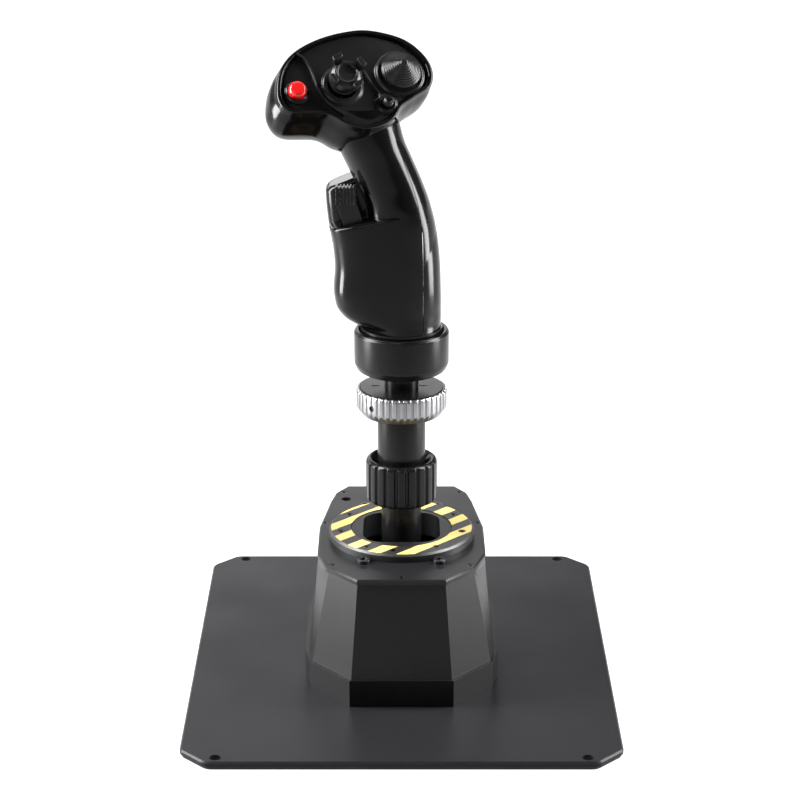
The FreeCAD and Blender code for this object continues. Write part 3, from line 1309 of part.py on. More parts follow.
def trigger():
    """Curved blade hung on a pin at its top."""
    y, z = TRIGGER_PIVOT
    outline = [(y - 2.8, z + 2.4), (y + 4.0, z + 3.2), (y + 11.0, z - 1.0), (y + 13.6, z - 7.0),
               (y + 12.8, z - 14.0), (y + 14.2, z - 20.0), (y + 17.0, z - 25.0), (y + 13.6, z - 25.6),
               (y + 8.4, z - 20.0), (y + 6.4, z - 12.0), (y + 1.0, z - 6.0), (y - 2.8, z - 3.2)]
    blade = side_prism(outline, TRIGGER_X - TRIGGER_HALF, TRIGGER_X + TRIGGER_HALF)
    hole = rod(TRIGGER_PIN_RADIUS + RUNNING_GAP, (TRIGGER_X - 20, y, z), (TRIGGER_X + 20, y, z))
    return blade.cut(hole)


def paddle_lever():
    """Long flat lever on the front, hinged at its top end."""
    y, z = PADDLE_PIVOT
    outline = [(y - 2.6, z + 2.2), (y + 3.2, z + 2.4), (y + 6.8, z - 2.0), (y + 8.4, z - 14.0),
               (y + 9.6, z - 26.0), (y + 12.0, z - PADDLE_LENGTH), (y + 8.8, z - PADDLE_LENGTH),
               (y + 5.8, z - 26.0), (y + 3.6, z - 10.0), (y - 2.6, z - 2.8)]
    blade = side_prism(outline, PADDLE_X - PADDLE_HALF, PADDLE_X + PADDLE_HALF)
    hole = rod(TRIGGER_PIN_RADIUS + RUNNING_GAP, (PADDLE_X - 20, y, z), (PADDLE_X + 20, y, z))
    return blade.cut(hole)


def cross_pin(pivot, x, half):
    reach = half + TRIGGER_SLOT_GAP + 2.0
    return rod(TRIGGER_PIN_RADIUS, (x - reach, *pivot), (x + reach, *pivot))


SELECTOR_CAP_X = -31.6
SELECTOR_CAP_HALF = 5.8
SELECTOR_CAP_LOW = 291.0
SELECTOR_CAP_TOP = 301.5
SELECTOR_KNEE = 279.0
SELECTOR_CAP_RIBS = 6


def selector_lever():
    """Thumb lever with a ribbed cap: it rises from the ledge, leans left and rocks fore and aft."""
    y, z = SELECTOR_PIVOT
    left, right = SELECTOR_X - SELECTOR_HALF, SELECTOR_X + SELECTOR_HALF
    cap_left, cap_right = SELECTOR_CAP_X - SELECTOR_CAP_HALF, SELECTOR_CAP_X + SELECTOR_CAP_HALF
    outline = [(left, z - 3.2), (right, z - 3.2), (right, SELECTOR_KNEE), (cap_right, SELECTOR_CAP_LOW + 1),
               (cap_left, SELECTOR_CAP_LOW + 1), (left, SELECTOR_KNEE)]
    corners = [vec(px, y - 3.2, pz) for px, pz in outline]
    stem = Part.Face(Part.makePolygon(corners + corners[:1])).extrude(vec(0, 6.4, 0))
    eye = rod(3.4, (left, y, z), (right, y, z))
    cap = block(cap_left, cap_right, y - 6.2, y + 1.0, SELECTOR_CAP_LOW, SELECTOR_CAP_TOP)
    pitch = 2 * SELECTOR_CAP_HALF / SELECTOR_CAP_RIBS
    grooves = []
    for k in range(1, SELECTOR_CAP_RIBS):
        gx = cap_left + pitch * k
        grooves.append(block(gx - 0.5, gx + 0.5, y - 8, y - 5.2, SELECTOR_CAP_LOW - 1, SELECTOR_CAP_TOP + 1))
        grooves.append(block(gx - 0.5, gx + 0.5, y - 8, y + 6, SELECTOR_CAP_TOP - 1.0, SELECTOR_CAP_TOP + 1))
    lever = fuse_all([stem, cap, eye]).cut(group(grooves))
    return lever.cut(rod(TRIGGER_PIN_RADIUS + RUNNING_GAP, (left - 9, y, z), (right + 9, y, z)))


def pinky_button():
    x, z = PINKY_AT
    cap = rod(PINKY_RADIUS, (x, 17.0, z), (x, 27.0, z))
    stop = rod(PINKY_RADIUS + 1.4, (x, 15.0, z), (x, 17.0, z))
    return fuse_all([cap, stop])


def build():
    os.makedirs("parts", exist_ok=True)
    save("anti_slip_mat", anti_slip_mat())
    save("base_plate", base_plate())
    save("foot_band", foot_band())
    save("foot_screws", foot_screws())
    save("housing_shell", housing_shell())
    save("top_cover", top_cover())
    save("cover_screws", cover_screws())
    save("stiffener_bars", stiffener_bars())
    save("support_screws", support_screws())
    save("hazard_ring", hazard_ring())
    save("ring_screws", ring_screws())
    save("gate_plate", gate_plate())
    save("usb_socket", usb_socket())
    save("main_board", main_board())
    save("board_standoffs", board_standoffs())
    save("board_screws", board_screws())
    save("gimbal_cradle", gimbal_cradle())
    save("cradle_screws", cradle_screws())
    save("pitch_bearings", pitch_bearings())
    save("pitch_springs", pitch_springs())
    save("pitch_sensor_board", pitch_sensor_board())
    save("pitch_yoke", pitch_yoke())
    save("pitch_magnet", pitch_magnet())
    save("roll_bearings", roll_bearings())
    save("roll_springs", roll_springs())
    save("roll_sensor_board", roll_sensor_board())
    save("roll_block", roll_block())
    save("roll_magnet", roll_magnet())
    save("shaft", shaft())
    save("shaft_bolt", shaft_bolt())
    save("extension_tube", extension_tube())
    save("coupling_head", coupling_head())
    save("locking_knob", locking_knob())
    save("lock_ring", lock_ring())
    save("lock_ring_screw", lock_ring_screw())
    save("connector_stub", connector_stub())
    save("collar", collar())
    save("grip_foot", grip_foot())
    blank = grip_shell_blank().cut(group(grip_cutters()))
    right_side = seam_side()
    save("grip_left_shell", largest(blank.cut(right_side)))
    save("grip_right_shell", largest(blank.common(right_side)))
    save("grip_screws", grip_screws())
    save("grip_circuit_board", grip_circuit_board())
    save("head_shell", head_shell())
    save("head_bezel", head_bezel())
    save("switch_panel", switch_panel())
    save("switch_trim_rings", group([
        hat_base_ring(CASTLE_AT, HAT_HOLE, CASTLE_RING_RADIUS, CASTLE_RING_TOP),
        hat_base_ring(TRIM_AT, TRIM_RADIUS + TRIM_RING_GAP, TRIM_RING_RADIUS, TRIM_RING_TOP),
        hat_base_ring(THUMB_BUTTON_AT, THUMB_RADIUS + PLUNGE_GAP, THUMB_RING_RADIUS, THUMB_RING_TOP)]))
    save("hat_switch_bodies", group([hat_switch_body(CASTLE_AT), hat_switch_body(TRIM_AT)]))
    save("plunger_switches", group([plunger_switch(THUMB_BUTTON_AT, THUMB_STEM_RADIUS, THUMB_RADIUS),
                                    plunger_switch(SMALL_BUTTON_AT, SMALL_STEM_RADIUS, SMALL_RADIUS)]))
    save("castle_cross", hat_cross(CASTLE_AT))
    save("castle_hat", castle_hat())
    save("trim_cross", hat_cross(TRIM_AT))
    save("trim_hat", trim_hat())
    save("thumb_button", plunger(THUMB_BUTTON_AT, THUMB_RADIUS, THUMB_STEM_RADIUS, THUMB_TOP))
    save("small_button", plunger(SMALL_BUTTON_AT, SMALL_RADIUS, SMALL_STEM_RADIUS, SMALL_TOP))
    save("trigger", trigger())
    save("paddle_lever", paddle_lever())
    save("selector_lever", selector_lever())
    save("pinky_button", pinky_button())
    save("lever_pins", group([cross_pin(TRIGGER_PIVOT, TRIGGER_X, TRIGGER_HALF),
                              cross_pin(PADDLE_PIVOT, PADDLE_X, PADDLE_HALF),
                              cross_pin(SELECTOR_PIVOT, SELECTOR_X, SELECTOR_HALF + 0.6)]))


build()
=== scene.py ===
import json
import bmesh
import bpy
import numpy as np
from math import cos, pi, radians, sin
from mathutils import Matrix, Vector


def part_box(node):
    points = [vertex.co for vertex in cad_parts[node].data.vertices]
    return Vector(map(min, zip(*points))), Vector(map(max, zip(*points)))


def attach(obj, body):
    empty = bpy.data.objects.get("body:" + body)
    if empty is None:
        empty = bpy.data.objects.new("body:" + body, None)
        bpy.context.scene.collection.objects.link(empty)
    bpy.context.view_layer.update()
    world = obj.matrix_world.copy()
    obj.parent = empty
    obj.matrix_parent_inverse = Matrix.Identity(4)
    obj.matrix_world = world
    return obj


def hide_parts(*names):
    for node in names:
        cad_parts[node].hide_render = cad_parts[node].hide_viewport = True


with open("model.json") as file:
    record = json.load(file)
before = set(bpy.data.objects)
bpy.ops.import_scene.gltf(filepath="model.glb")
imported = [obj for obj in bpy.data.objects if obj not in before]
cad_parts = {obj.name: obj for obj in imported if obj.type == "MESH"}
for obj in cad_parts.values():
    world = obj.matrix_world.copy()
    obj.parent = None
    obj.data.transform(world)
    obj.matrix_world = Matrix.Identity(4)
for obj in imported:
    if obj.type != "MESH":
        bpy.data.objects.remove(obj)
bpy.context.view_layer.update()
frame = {"nodes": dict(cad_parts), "record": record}

# Desktop flight joystick: its plate, housing, stick and grip, in metres.
# Profiles, outlines and the head's own directions are in millimetres and multiplied by MM.
MM = 0.001
NODES = frame["nodes"]
SLOT_OF = {row["node"]: row["material_slot"] for row in frame["record"]["subparts"]}
SHARP_ANGLE = 32.0       # degrees between faces beyond which their edge stays sharp


# ---- finishes --------------------------------------------------------------

# scale per metre of the noise that spreads the roughness, and the part of it that is spread
BROAD_GRAIN = 22.0
NOISE_RANGE = (0.3, 0.7)
LEAST_ROUGH = 0.02
BUMP_DISTANCE = 0.3 * MM
TONE_LIFT = 0.002        # keeps a little variation in the darkest colours


def noise(tree, vector, scale, detail):
    """Noise texture read at the vector; returns its value."""
    texture = tree.nodes.new("ShaderNodeTexNoise")
    texture.inputs["Scale"].default_value = scale
    texture.inputs["Detail"].default_value = detail
    tree.links.new(vector, texture.inputs["Vector"])
    return texture.outputs["Fac"]


def finish(name, colour, rough, metallic=0.0, grain=900.0, depth=0.05, rough_spread=0.04,
           tone=0.12, specular=0.5, streak=(1.0, 1.0, 1.0)):
    """Surface whose roughness and tone follow noise in object space, with a fine bump.

    grain is the noise scale per metre, depth the bump's strength, tone how far the colour
    wanders from the base, and streak stretches the grain along an axis."""
    mat = bpy.data.materials.new(name)
    mat.use_nodes = True
    tree = mat.node_tree
    shader = tree.nodes["Principled BSDF"]
    shader.inputs["Metallic"].default_value = metallic
    shader.inputs["Specular IOR Level"].default_value = specular
    where = tree.nodes.new("ShaderNodeTexCoord")
    stretch = tree.nodes.new("ShaderNodeMapping")
    stretch.inputs["Scale"].default_value = streak
    tree.links.new(where.outputs["Object"], stretch.inputs["Vector"])
    fine = noise(tree, stretch.outputs["Vector"], grain, 3.0)
    broad = noise(tree, where.outputs["Object"], BROAD_GRAIN, 4.0)
    spread = tree.nodes.new("ShaderNodeMapRange")
    spread.inputs["From Min"].default_value, spread.inputs["From Max"].default_value = NOISE_RANGE
    spread.inputs["To Min"].default_value = max(LEAST_ROUGH, rough - rough_spread)
    spread.inputs["To Max"].default_value = rough + rough_spread
    tree.links.new(broad, spread.inputs["Value"])
    tree.links.new(spread.outputs["Result"], shader.inputs["Roughness"])
    mix = tree.nodes.new("ShaderNodeMix")
    mix.data_type = "RGBA"
    mix.inputs["A"].default_value = [c * (1 - tone) for c in colour] + [1.0]
    mix.inputs["B"].default_value = [min(1.0, c * (1 + tone) + TONE_LIFT) for c in colour] + [1.0]
    tree.links.new(fine, mix.inputs["Factor"])
    tree.links.new(mix.outputs["Result"], shader.inputs["Base Color"])
    bump = tree.nodes.new("ShaderNodeBump")
    bump.inputs["Strength"].default_value = depth
    bump.inputs["Distance"].default_value = BUMP_DISTANCE
    tree.links.new(fine, bump.inputs["Height"])
    tree.links.new(bump.outputs["Normal"], shader.inputs["Normal"])
    return mat


def maths(tree, operation, first, second=None):
    """One Math node fed by sockets or plain numbers; returns its output."""
    node = tree.nodes.new("ShaderNodeMath")
    node.operation = operation
    for socket, value in zip(node.inputs, (first, second)):
        if value is None:
            continue
        if isinstance(value, (int, float)):
            socket.default_value = value
        else:
            tree.links.new(value, socket)
    return node.outputs[0]


STRIPE_PERIOD = 21.2 * MM
STRIPE_SHIFT = 1.5 * MM
STRIPE_SHARE = 0.5       # share of a period that is yellow
LOOKS_UP = 0.9           # least upward part of a normal on a face that is painted
WHOLE_TURNS = 10.0       # keeps the stripe number positive


def stripe_finish(name, yellow, black):
    """Diagonal warning stripes on faces that look up, and plain dark paint on the rest.

    A point is yellow where the fraction of (x - y - shift) / period + share / 2 is under share."""
    mat = finish(name, yellow, 0.42, grain=1400.0, depth=0.04, tone=0.05)
    tree = mat.node_tree
    shader = tree.nodes["Principled BSDF"]
    where = tree.nodes["Texture Coordinate"]
    axes = tree.nodes.new("ShaderNodeSeparateXYZ")
    tree.links.new(where.outputs["Object"], axes.inputs["Vector"])
    across = maths(tree, "SUBTRACT", axes.outputs["X"], axes.outputs["Y"])
    turns = maths(tree, "MULTIPLY", maths(tree, "SUBTRACT", across, STRIPE_SHIFT), 1.0 / STRIPE_PERIOD)
    phase = maths(tree, "FRACT", maths(tree, "ADD", turns, WHOLE_TURNS + STRIPE_SHARE / 2))
    inside = maths(tree, "LESS_THAN", phase, STRIPE_SHARE)
    facing = tree.nodes.new("ShaderNodeSeparateXYZ")
    tree.links.new(where.outputs["Normal"], facing.inputs["Vector"])
    painted = maths(tree, "MULTIPLY", inside, maths(tree, "GREATER_THAN", facing.outputs["Z"], LOOKS_UP))
    mix = tree.nodes.new("ShaderNodeMix")
    mix.data_type = "RGBA"
    mix.inputs["A"].default_value = list(black) + [1.0]
    tree.links.new(painted, mix.inputs["Factor"])
    tree.links.new(tree.nodes["Mix"].outputs["Result"], mix.inputs["B"])
    tree.links.new(mix.outputs["Result"], shader.inputs["Base Color"])
    return mat


FINISH = {
    "rubber_black": finish("rubber", (0.02, 0.02, 0.021), 0.8, grain=2500.0, depth=0.3),
    "plate_black": finish("plate_powder_coat", (0.007, 0.007, 0.008), 0.4, grain=2600.0,
                          depth=0.12, specular=0.14),
    "housing_black": finish("housing_paint", (0.006, 0.006, 0.0066), 0.34, grain=2200.0, depth=0.08,
                            specular=0.16),
    "hazard_yellow": stripe_finish("hazard_stripes", (0.46, 0.34, 0.10), (0.008, 0.008, 0.008)),
    "screw_black": finish("black_oxide_screw", (0.03, 0.03, 0.032), 0.3, metallic=0.8, grain=1800.0),
    "steel": finish("machined_steel", (0.45, 0.45, 0.46), 0.34, metallic=1.0, grain=1500.0),
    "bearing_steel": finish("ground_steel", (0.7, 0.7, 0.72), 0.18, metallic=1.0, grain=1500.0),
    "silver_ring": finish("knurled_aluminium", (0.24, 0.24, 0.245), 0.3, metallic=1.0, grain=1700.0,
                          depth=0.15, streak=(1.0, 1.0, 0.3)),
    "black_metal": finish("black_anodised", (0.003, 0.003, 0.0033), 0.24, grain=1900.0, depth=0.05,
                          specular=0.14),
    "grip_black": finish("grip_plastic", (0.0015, 0.0015, 0.0016), 0.16, grain=1600.0, depth=0.03,
                         rough_spread=0.03, specular=0.14),
    "switch_black": finish("switch_plastic", (0.004, 0.004, 0.0044), 0.26, grain=2000.0, depth=0.05,
                           specular=0.2),
    "button_red": finish("red_plastic", (0.55, 0.004, 0.004), 0.24, grain=1500.0, depth=0.02,
                         tone=0.05),
    "board_green": finish("circuit_board", (0.03, 0.2, 0.09), 0.4, grain=700.0),
    "magnet_grey": finish("plated_magnet", (0.5, 0.5, 0.52), 0.2, metallic=1.0),
}
for node, slot in SLOT_OF.items():
    NODES[node].data.materials.clear()
    NODES[node].data.materials.append(FINISH[slot])


# ---- mesh tools --------------------------------------------------------------

def link(name, data):
    """New object in the scene that holds the mesh, lamp or camera."""
    obj = bpy.data.objects.new(name, data)
    bpy.context.scene.collection.objects.link(obj)
    return obj


def skin(name, points, loop=False, sharp=SHARP_ANGLE):
    """Closed mesh over a grid of points (rows, columns, 3) whose columns run round a ring.

    With loop the last row joins the first; without it each end ring is closed by a fan to
    its middle.  The faces are turned outwards by the sign of the enclosed volume."""
    rows, cols, _ = points.shape
    verts = points.reshape(-1, 3)
    i = np.arange(rows if loop else rows - 1)[:, None] * cols
    j = np.arange(cols)[None, :]
    k = (j + 1) % cols
    up = (i + cols) % (rows * cols)
    quads = np.stack([i + j, i + k, up + k, up + j], -1).reshape(-1, 4)
    fans = np.zeros((0, 3), int)
    if not loop:
        verts = np.vstack([verts, points[0].mean(0), points[-1].mean(0)])
        low, high, ring = rows * cols, rows * cols + 1, np.arange(cols)
        step = (ring + 1) % cols
        last = (rows - 1) * cols
        fans = np.vstack([np.stack([step, ring, np.full(cols, low)], -1),
                          np.stack([last + ring, last + step, np.full(cols, high)], -1)])
    tris = np.vstack([quads[:, [0, 1, 2]], quads[:, [0, 2, 3]], fans])
    a, b, c = (verts[tris[:, n]] for n in range(3))
    if np.einsum("ij,ij->i", a, np.cross(b, c)).sum() < 0:
        quads, fans = quads[:, ::-1], fans[:, ::-1]
    mesh = bpy.data.meshes.new(name)
    mesh.from_pydata(verts.tolist(), [], quads.tolist() + fans.tolist())
    mesh.update()
    mesh.shade_smooth()
    mesh.set_sharp_from_angle(angle=radians(sharp))
    return link(name, mesh)


def settle(obj, body, slot, *nodes):
    """Finish a piece: its material, the body it rides on, its slot and the nodes it stands for."""
    obj.data.materials.clear()
    obj.data.materials.append(FINISH[slot])
    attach(obj, body)
    if nodes:
        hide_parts(*nodes)


def apply_all(obj):
    """Swap the object's mesh for the one that its modifiers make, and return that mesh."""
    graph = bpy.context.evaluated_depsgraph_get()
    mesh = bpy.data.meshes.new_from_object(obj.evaluated_get(graph))
    obj.modifiers.clear()
    obj.data = mesh
    return mesh


def combine(obj, others, operation):
    """Boolean of obj with each of the others in turn, which are then removed."""
    for other in others:
        change = obj.modifiers.new(operation.lower(), "BOOLEAN")
        change.operation = operation
        change.solver = "EXACT"
        change.object = other
    bpy.context.view_layer.update()
    mesh = apply_all(obj)
    mesh.shade_smooth()
    mesh.set_sharp_from_angle(angle=radians(SHARP_ANGLE))
    for other in others:
        bpy.data.objects.remove(other)


WELD_DISTANCE = 0.002 * MM
FLAT_ANGLE = 0.6         # degrees: faces that differ by less are merged into one
BEVEL_ANGLE = 28.0       # degrees: edges sharper than this are rounded
FACE_WEIGHT = 100        # large faces keep their own normals beside a bevel


def softened(node, width, segments=2):
    """Copy of a CAD node with its flat faces merged and its hard edges rounded by a bevel."""
    mesh = bmesh.new()
    mesh.from_mesh(NODES[node].data)
    bmesh.ops.remove_doubles(mesh, verts=mesh.verts, dist=WELD_DISTANCE)
    bmesh.ops.dissolve_limit(mesh, angle_limit=radians(FLAT_ANGLE), verts=mesh.verts, edges=mesh.edges)
    copy = bpy.data.meshes.new(node + "_rounded")
    mesh.to_mesh(copy)
    mesh.free()
    if "custom_normal" in copy.attributes:
        copy.attributes.remove(copy.attributes["custom_normal"])
    copy.shade_smooth()
    obj = link(copy.name, copy)
    edge = obj.modifiers.new("round", "BEVEL")
    edge.width = width
    edge.segments = segments
    edge.limit_method = "ANGLE"
    edge.angle_limit = radians(BEVEL_ANGLE)
    edge.use_clamp_overlap = True
    even = obj.modifiers.new("even", "WEIGHTED_NORMAL")
    even.weight = FACE_WEIGHT
    apply_all(obj)
    return obj


MOST_REACH = 0.48        # share of a side that one rounded corner may take


def rounded(points, radius, steps=4):
    """Open line through 2-D points with each inner corner rounded off.

    Each corner is the quadratic curve (1-t)^2 start + 2t(1-t) corner + t^2 end, which reaches
    radius along both sides, or just under half of the shorter side."""
    points = np.asarray(points, float)
    radii = np.broadcast_to(radius, len(points) - 2)
    t = np.linspace(0, 1, steps + 1)[:, None]
    line = [points[:1]]
    for before, corner, after, r in zip(points, points[1:], points[2:], radii):
        to_before, to_after = before - corner, after - corner
        reach = min(r, MOST_REACH * np.hypot(*to_before), MOST_REACH * np.hypot(*to_after))
        start = corner + to_before / np.hypot(*to_before) * reach
        end = corner + to_after / np.hypot(*to_after) * reach
        line.append((1 - t) ** 2 * start + 2 * t * (1 - t) * corner + t ** 2 * end)
    line.append(points[-1:])
    return np.vstack(line)


def closed_line(points, radius, steps=4):
    """Rounded line whose last point is its first, without the repeated point."""
    return rounded(points, radius, steps)[:-1]


def turned(profile, count=96, shape=None):
    """Grid of a profile (radius, height) turned about the Z axis, in millimetres.

    shape(radius, angle, height) may change the radius round the turn."""
    profile = np.asarray(profile, float)
    angle = np.linspace(0, 2 * pi, count, endpoint=False)[None, :]
    radius = np.broadcast_to(profile[:, :1], (len(profile), count))
    height = np.broadcast_to(profile[:, 1:2], radius.shape)
    if shape is not None:
        radius = shape(radius, angle, height)
    return np.stack([radius * np.cos(angle), radius * np.sin(angle), height], -1)


def easing(z, table):
    """Table of (z, values...) read at heights z by monotone cubic pieces.

    Each knot's slope is the harmonic mean of its neighbours' slopes, or zero at a turn."""
    table = np.asarray(table, float)
    knots, values = table[:, 0], table[:, 1:]
    steps = np.diff(knots)[:, None]
    rise = np.diff(values, axis=0) / steps
    slopes = np.zeros_like(values)
    same = rise[1:] * rise[:-1] > 0
    inner = 2 * rise[1:] * rise[:-1] / np.where(same, rise[1:] + rise[:-1], 1.0)
    slopes[1:-1] = np.where(same, inner, 0.0)
    slopes[0], slopes[-1] = rise[0], rise[-1]
    z = np.clip(np.asarray(z, float), knots[0], knots[-1])
    at = np.clip(np.searchsorted(knots, z, side="right") - 1, 0, len(knots) - 2)
    step = steps[at, 0]
    t = ((z - knots[at]) / step)[..., None]
    step = step[..., None]
    return ((2 * t ** 3 - 3 * t ** 2 + 1) * values[at] + (t ** 3 - 2 * t ** 2 + t) * step * slopes[at]
            + (3 * t ** 2 - 2 * t ** 3) * values[at + 1] + (t ** 3 - t ** 2) * step * slopes[at + 1])


# ---- base --------------------------------------------------------------------
# node, width of its rounded edges and the faces across each
ROUNDED_BASE = [("base_plate", 0.35, 2), ("foot_band", 0.8, 3), ("housing_shell", 0.5, 2),
                ("top_cover", 0.45, 3), ("gate_plate", 0.5, 2), ("support_screws", 0.35, 2)]
for node, width, segments in ROUNDED_BASE:
    settle(softened(node, width * MM, segments), "base", SLOT_OF[node], node)


# ---- stick stack ---------------------------------------------------------------
SHAFT_FIT = 12.1         # bore of what turns on the shaft
TUBE_BORE = 10.2
TUBE_RADIUS = 14.2
TUBE_FIT = 14.3          # bore of what turns on the tube
TUBE_FOOT = 112.1
TUBE_TOP = 163.2
KNOB_STEP = 112.0        # height at which the knob's bore widens from the shaft to the tube
RING_CUP = 24.6          # radius of the lock ring's cup round the coupling
RING_CUP_FLOOR = 163.1
STUB_FIT = 18.8          # bore of the collar's floor round the connector
FOOT_FIT = 24.1          # bore of the collar round the grip's foot
COLLAR_FLOOR = 190.0
SET_SCREW_HOLE = 1.75
SET_SCREW_DEPTH = 8.0
SET_SCREW_START = 22.9   # radius at which the hole for the set screw begins
RIB_STEEPNESS = 26
RIB_ROOT = 15.0          # ribs only change radii beyond this
RIB_FADE = 1.2           # height over which they fade out


def round_sizes(node):
    """A round node's outer radius, bottom and top in millimetres."""
    low, high = (np.array(corner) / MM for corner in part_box(node))
    return high[0], low[2], high[2]


def ribs(count, depth, share, low, high):
    """Ribs round a turned piece: the radius drops by depth in the grooves between them.

    A groove's walls follow the smooth step 1 / (1 + e^-x), and share is the ribs' part of the
    turn. The grooves fade out at the heights low and high."""
    def shape(radius, angle, height):
        phase = np.abs(((angle * count / (2 * pi)) % 1.0) - 0.5) * 2
        groove = 1 / (1 + np.exp((phase - (1 - share)) * RIB_STEEPNESS))
        fade = np.clip((height - low) / RIB_FADE, 0, 1) * np.clip((high - height) / RIB_FADE, 0, 1)
        return radius - depth * groove * fade * (radius > RIB_ROOT)
    return shape


def locking_knob():
    """Ribbed knob: a turned line with a dished top and a stepped bore."""
    outer, bottom, top = round_sizes("locking_knob")
    line = closed_line([(SHAFT_FIT, bottom), (outer - 1.4, bottom), (outer, bottom + 1.6),
                        (outer, top - 1.6), (outer - 1.5, top), (outer - 3.2, top),
                        (TUBE_FIT + 0.9, top - 3.0), (TUBE_FIT, top - 3.2), (TUBE_FIT, KNOB_STEP + 0.2),
                        (SHAFT_FIT, KNOB_STEP), (SHAFT_FIT, bottom)], 0.9)
    shape = ribs(20, 1.3, 0.72, bottom - 1, top - 0.6)
    return skin("locking_knob_ribbed", MM * turned(line, 480, shape), loop=True, sharp=40)


def set_screw_drill():
    """Rod along the lock ring's radius, turned to the direction of its set screw."""
    middle = np.mean(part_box("lock_ring_screw"), axis=0)
    spin = np.arctan2(middle[1], middle[0])
    turn = np.array([[cos(spin), sin(spin), 0], [-sin(spin), cos(spin), 0], [0, 0, 1]])
    rod = turned([(SET_SCREW_HOLE, 0.0), (SET_SCREW_HOLE, SET_SCREW_DEPTH)], 32)[..., [2, 1, 0]]
    rod = rod + np.array([SET_SCREW_START, 0, 0])
    return skin("drill", MM * (rod @ turn) + np.array([0, 0, middle[2]]))


def lock_ring():
    """Knurled ring: a turned line with a sloping foot and a cup, drilled for its set screw."""
    outer, bottom, top = round_sizes("lock_ring")
    line = closed_line([(TUBE_FIT, bottom), (outer - 3.4, bottom), (outer - 0.5, bottom + 4.0),
                        (outer, bottom + 5.0), (outer, top - 1.0), (outer - 1.1, top), (RING_CUP, top),
                        (RING_CUP, RING_CUP_FLOOR), (TUBE_FIT, RING_CUP_FLOOR - 0.1),
                        (TUBE_FIT, bottom)], 0.7, 3)
    shape = ribs(40, 0.75, 0.66, bottom + 3.2, top + 0.2)
    ring = skin("lock_ring_knurled", MM * turned(line, 800, shape), loop=True, sharp=40)
    combine(ring, [set_screw_drill()], "DIFFERENCE")
    return ring


def collar():
    """Screw collar: a turned line with a rounded foot and a grooved rim round the grip."""
    outer, bottom, top = round_sizes("collar")
    line = closed_line([(STUB_FIT, bottom), (outer - 5.0, bottom + 0.1), (outer - 1.6, bottom + 1.8),
                        (outer, bottom + 5.6), (outer, top - 1.5), (outer - 0.5, top - 0.9),
                        (outer - 0.9, top), (outer - 2.9, top), (outer - 3.3, top - 1.4),
                        (FOOT_FIT, top - 1.8), (FOOT_FIT, COLLAR_FLOOR), (STUB_FIT, COLLAR_FLOOR - 0.2),
                        (STUB_FIT, bottom)], 1.0)
    return skin("collar_turned", MM * turned(line, 160), loop=True)


def extension_tube():
    """Plain tube with rounded ends."""
    line = closed_line([(TUBE_BORE, TUBE_FOOT), (TUBE_RADIUS, TUBE_FOOT), (TUBE_RADIUS, TUBE_TOP),
                        (TUBE_BORE, TUBE_TOP), (TUBE_BORE, TUBE_FOOT)], 0.4, 3)
    return skin("extension_tube_turned", MM * turned(line), loop=True)


settle(locking_knob(), "locking_knob", "black_metal", "locking_knob")
settle(lock_ring(), "lock_ring", "silver_ring", "lock_ring")
settle(collar(), "collar", "black_metal", "collar")
settle(extension_tube(), "stick", "black_metal", "extension_tube")

# ---- grip ----------------------------------------------------------------------------------
# height, left, right, back, front, squareness of the left and right halves
PALM = [
    (213.8, -23.4, 22.9, -23.4, 23.4, 2.0, 2.0), (217.0, -26.4, 23.0, -23.4, 23.8, 2.1, 2.0),
    (219.5, -30.8, 23.1, -23.5, 24.2, 2.5, 2.1), (223.5, -35.2, 23.1, -23.6, 24.8, 3.0, 2.2),
    (229.5, -38.4, 23.1, -23.7, 25.6, 3.3, 2.4), (238.0, -39.4, 22.9, -23.8, 26.2, 3.4, 2.5),
    (251.0, -38.6, 22.4, -23.7, 26.2, 3.4, 2.5), (264.0, -39.6, 21.2, -23.5, 26.0, 3.4, 2.4),
    (277.0, -42.0, 19.0, -23.2, 25.6, 3.4, 2.3), (292.0, -43.6, 14.9, -22.8, 25.0, 3.4, 2.2),
]
COLUMN = [
    (246.0, -19.0, 21.4, -22.2, 25.0, 2.3, 2.4), (271.0, -20.0, 20.0, -22.2, 24.2, 2.3, 2.3),
    (286.0, -21.0, 16.7, -21.6, 23.4, 2.3, 2.3), (299.0, -26.2, 12.1, -20.6, 22.4, 2.3, 2.3),
    (312.5, -32.4, 6.3, -20.4, 22.0, 2.2, 2.3), (324.0, -38.0, 1.5, -20.8, 21.6, 2.2, 2.2),
    (334.5, -44.0, -1.3, -20.6, 21.2, 2.2, 2.2), (346.0, -50.0, -5.0, -18.0, 21.0, 2.2, 2.2),
]
POD = [
    (262.0, -40.2, -4.0, -5.0, 24.8, 3.6, 3.6), (277.0, -42.5, -4.0, -5.0, 24.4, 3.6, 3.6),
    (290.0, -43.6, -5.0, -5.0, 22.4, 3.6, 3.6), (299.6, -43.8, -8.0, -5.0, 17.6, 3.4, 3.4),
    (314.0, -43.6, -12.0, -4.4, 13.0, 3.4, 3.4),
]
# planes that rise along X: x, height there, slope
LEDGE = (0.7, 285.4, 9.5 / 41.0)
POD_TOP = (-43.6, 296.0, 0.42)
# height, X of the seam between the halves
SEAM = [(205.0, 12.5), (250.0, 12.5), (270.0, 12.0), (286.0, 10.2), (300.0, 6.4), (314.0, 1.4),
        (330.0, -4.0), (350.0, -11.0)]
SEAM_GAP = 0.16          # each half stops this far from the seam
# slots and the thumb lever's well: lowest and highest X, Y and Z
GRIP_SLOTS = {"trigger_slot": (-18.6, -7.4, 11.0, 47.0, 287.0, 323.0),
              "paddle_slot": (-12.6, 0.6, 19.0, 44.0, 233.0, 275.0),
              "selector_well": (-34.2, -20.2, -17.6, -8.4, 262.0, 283.5)}
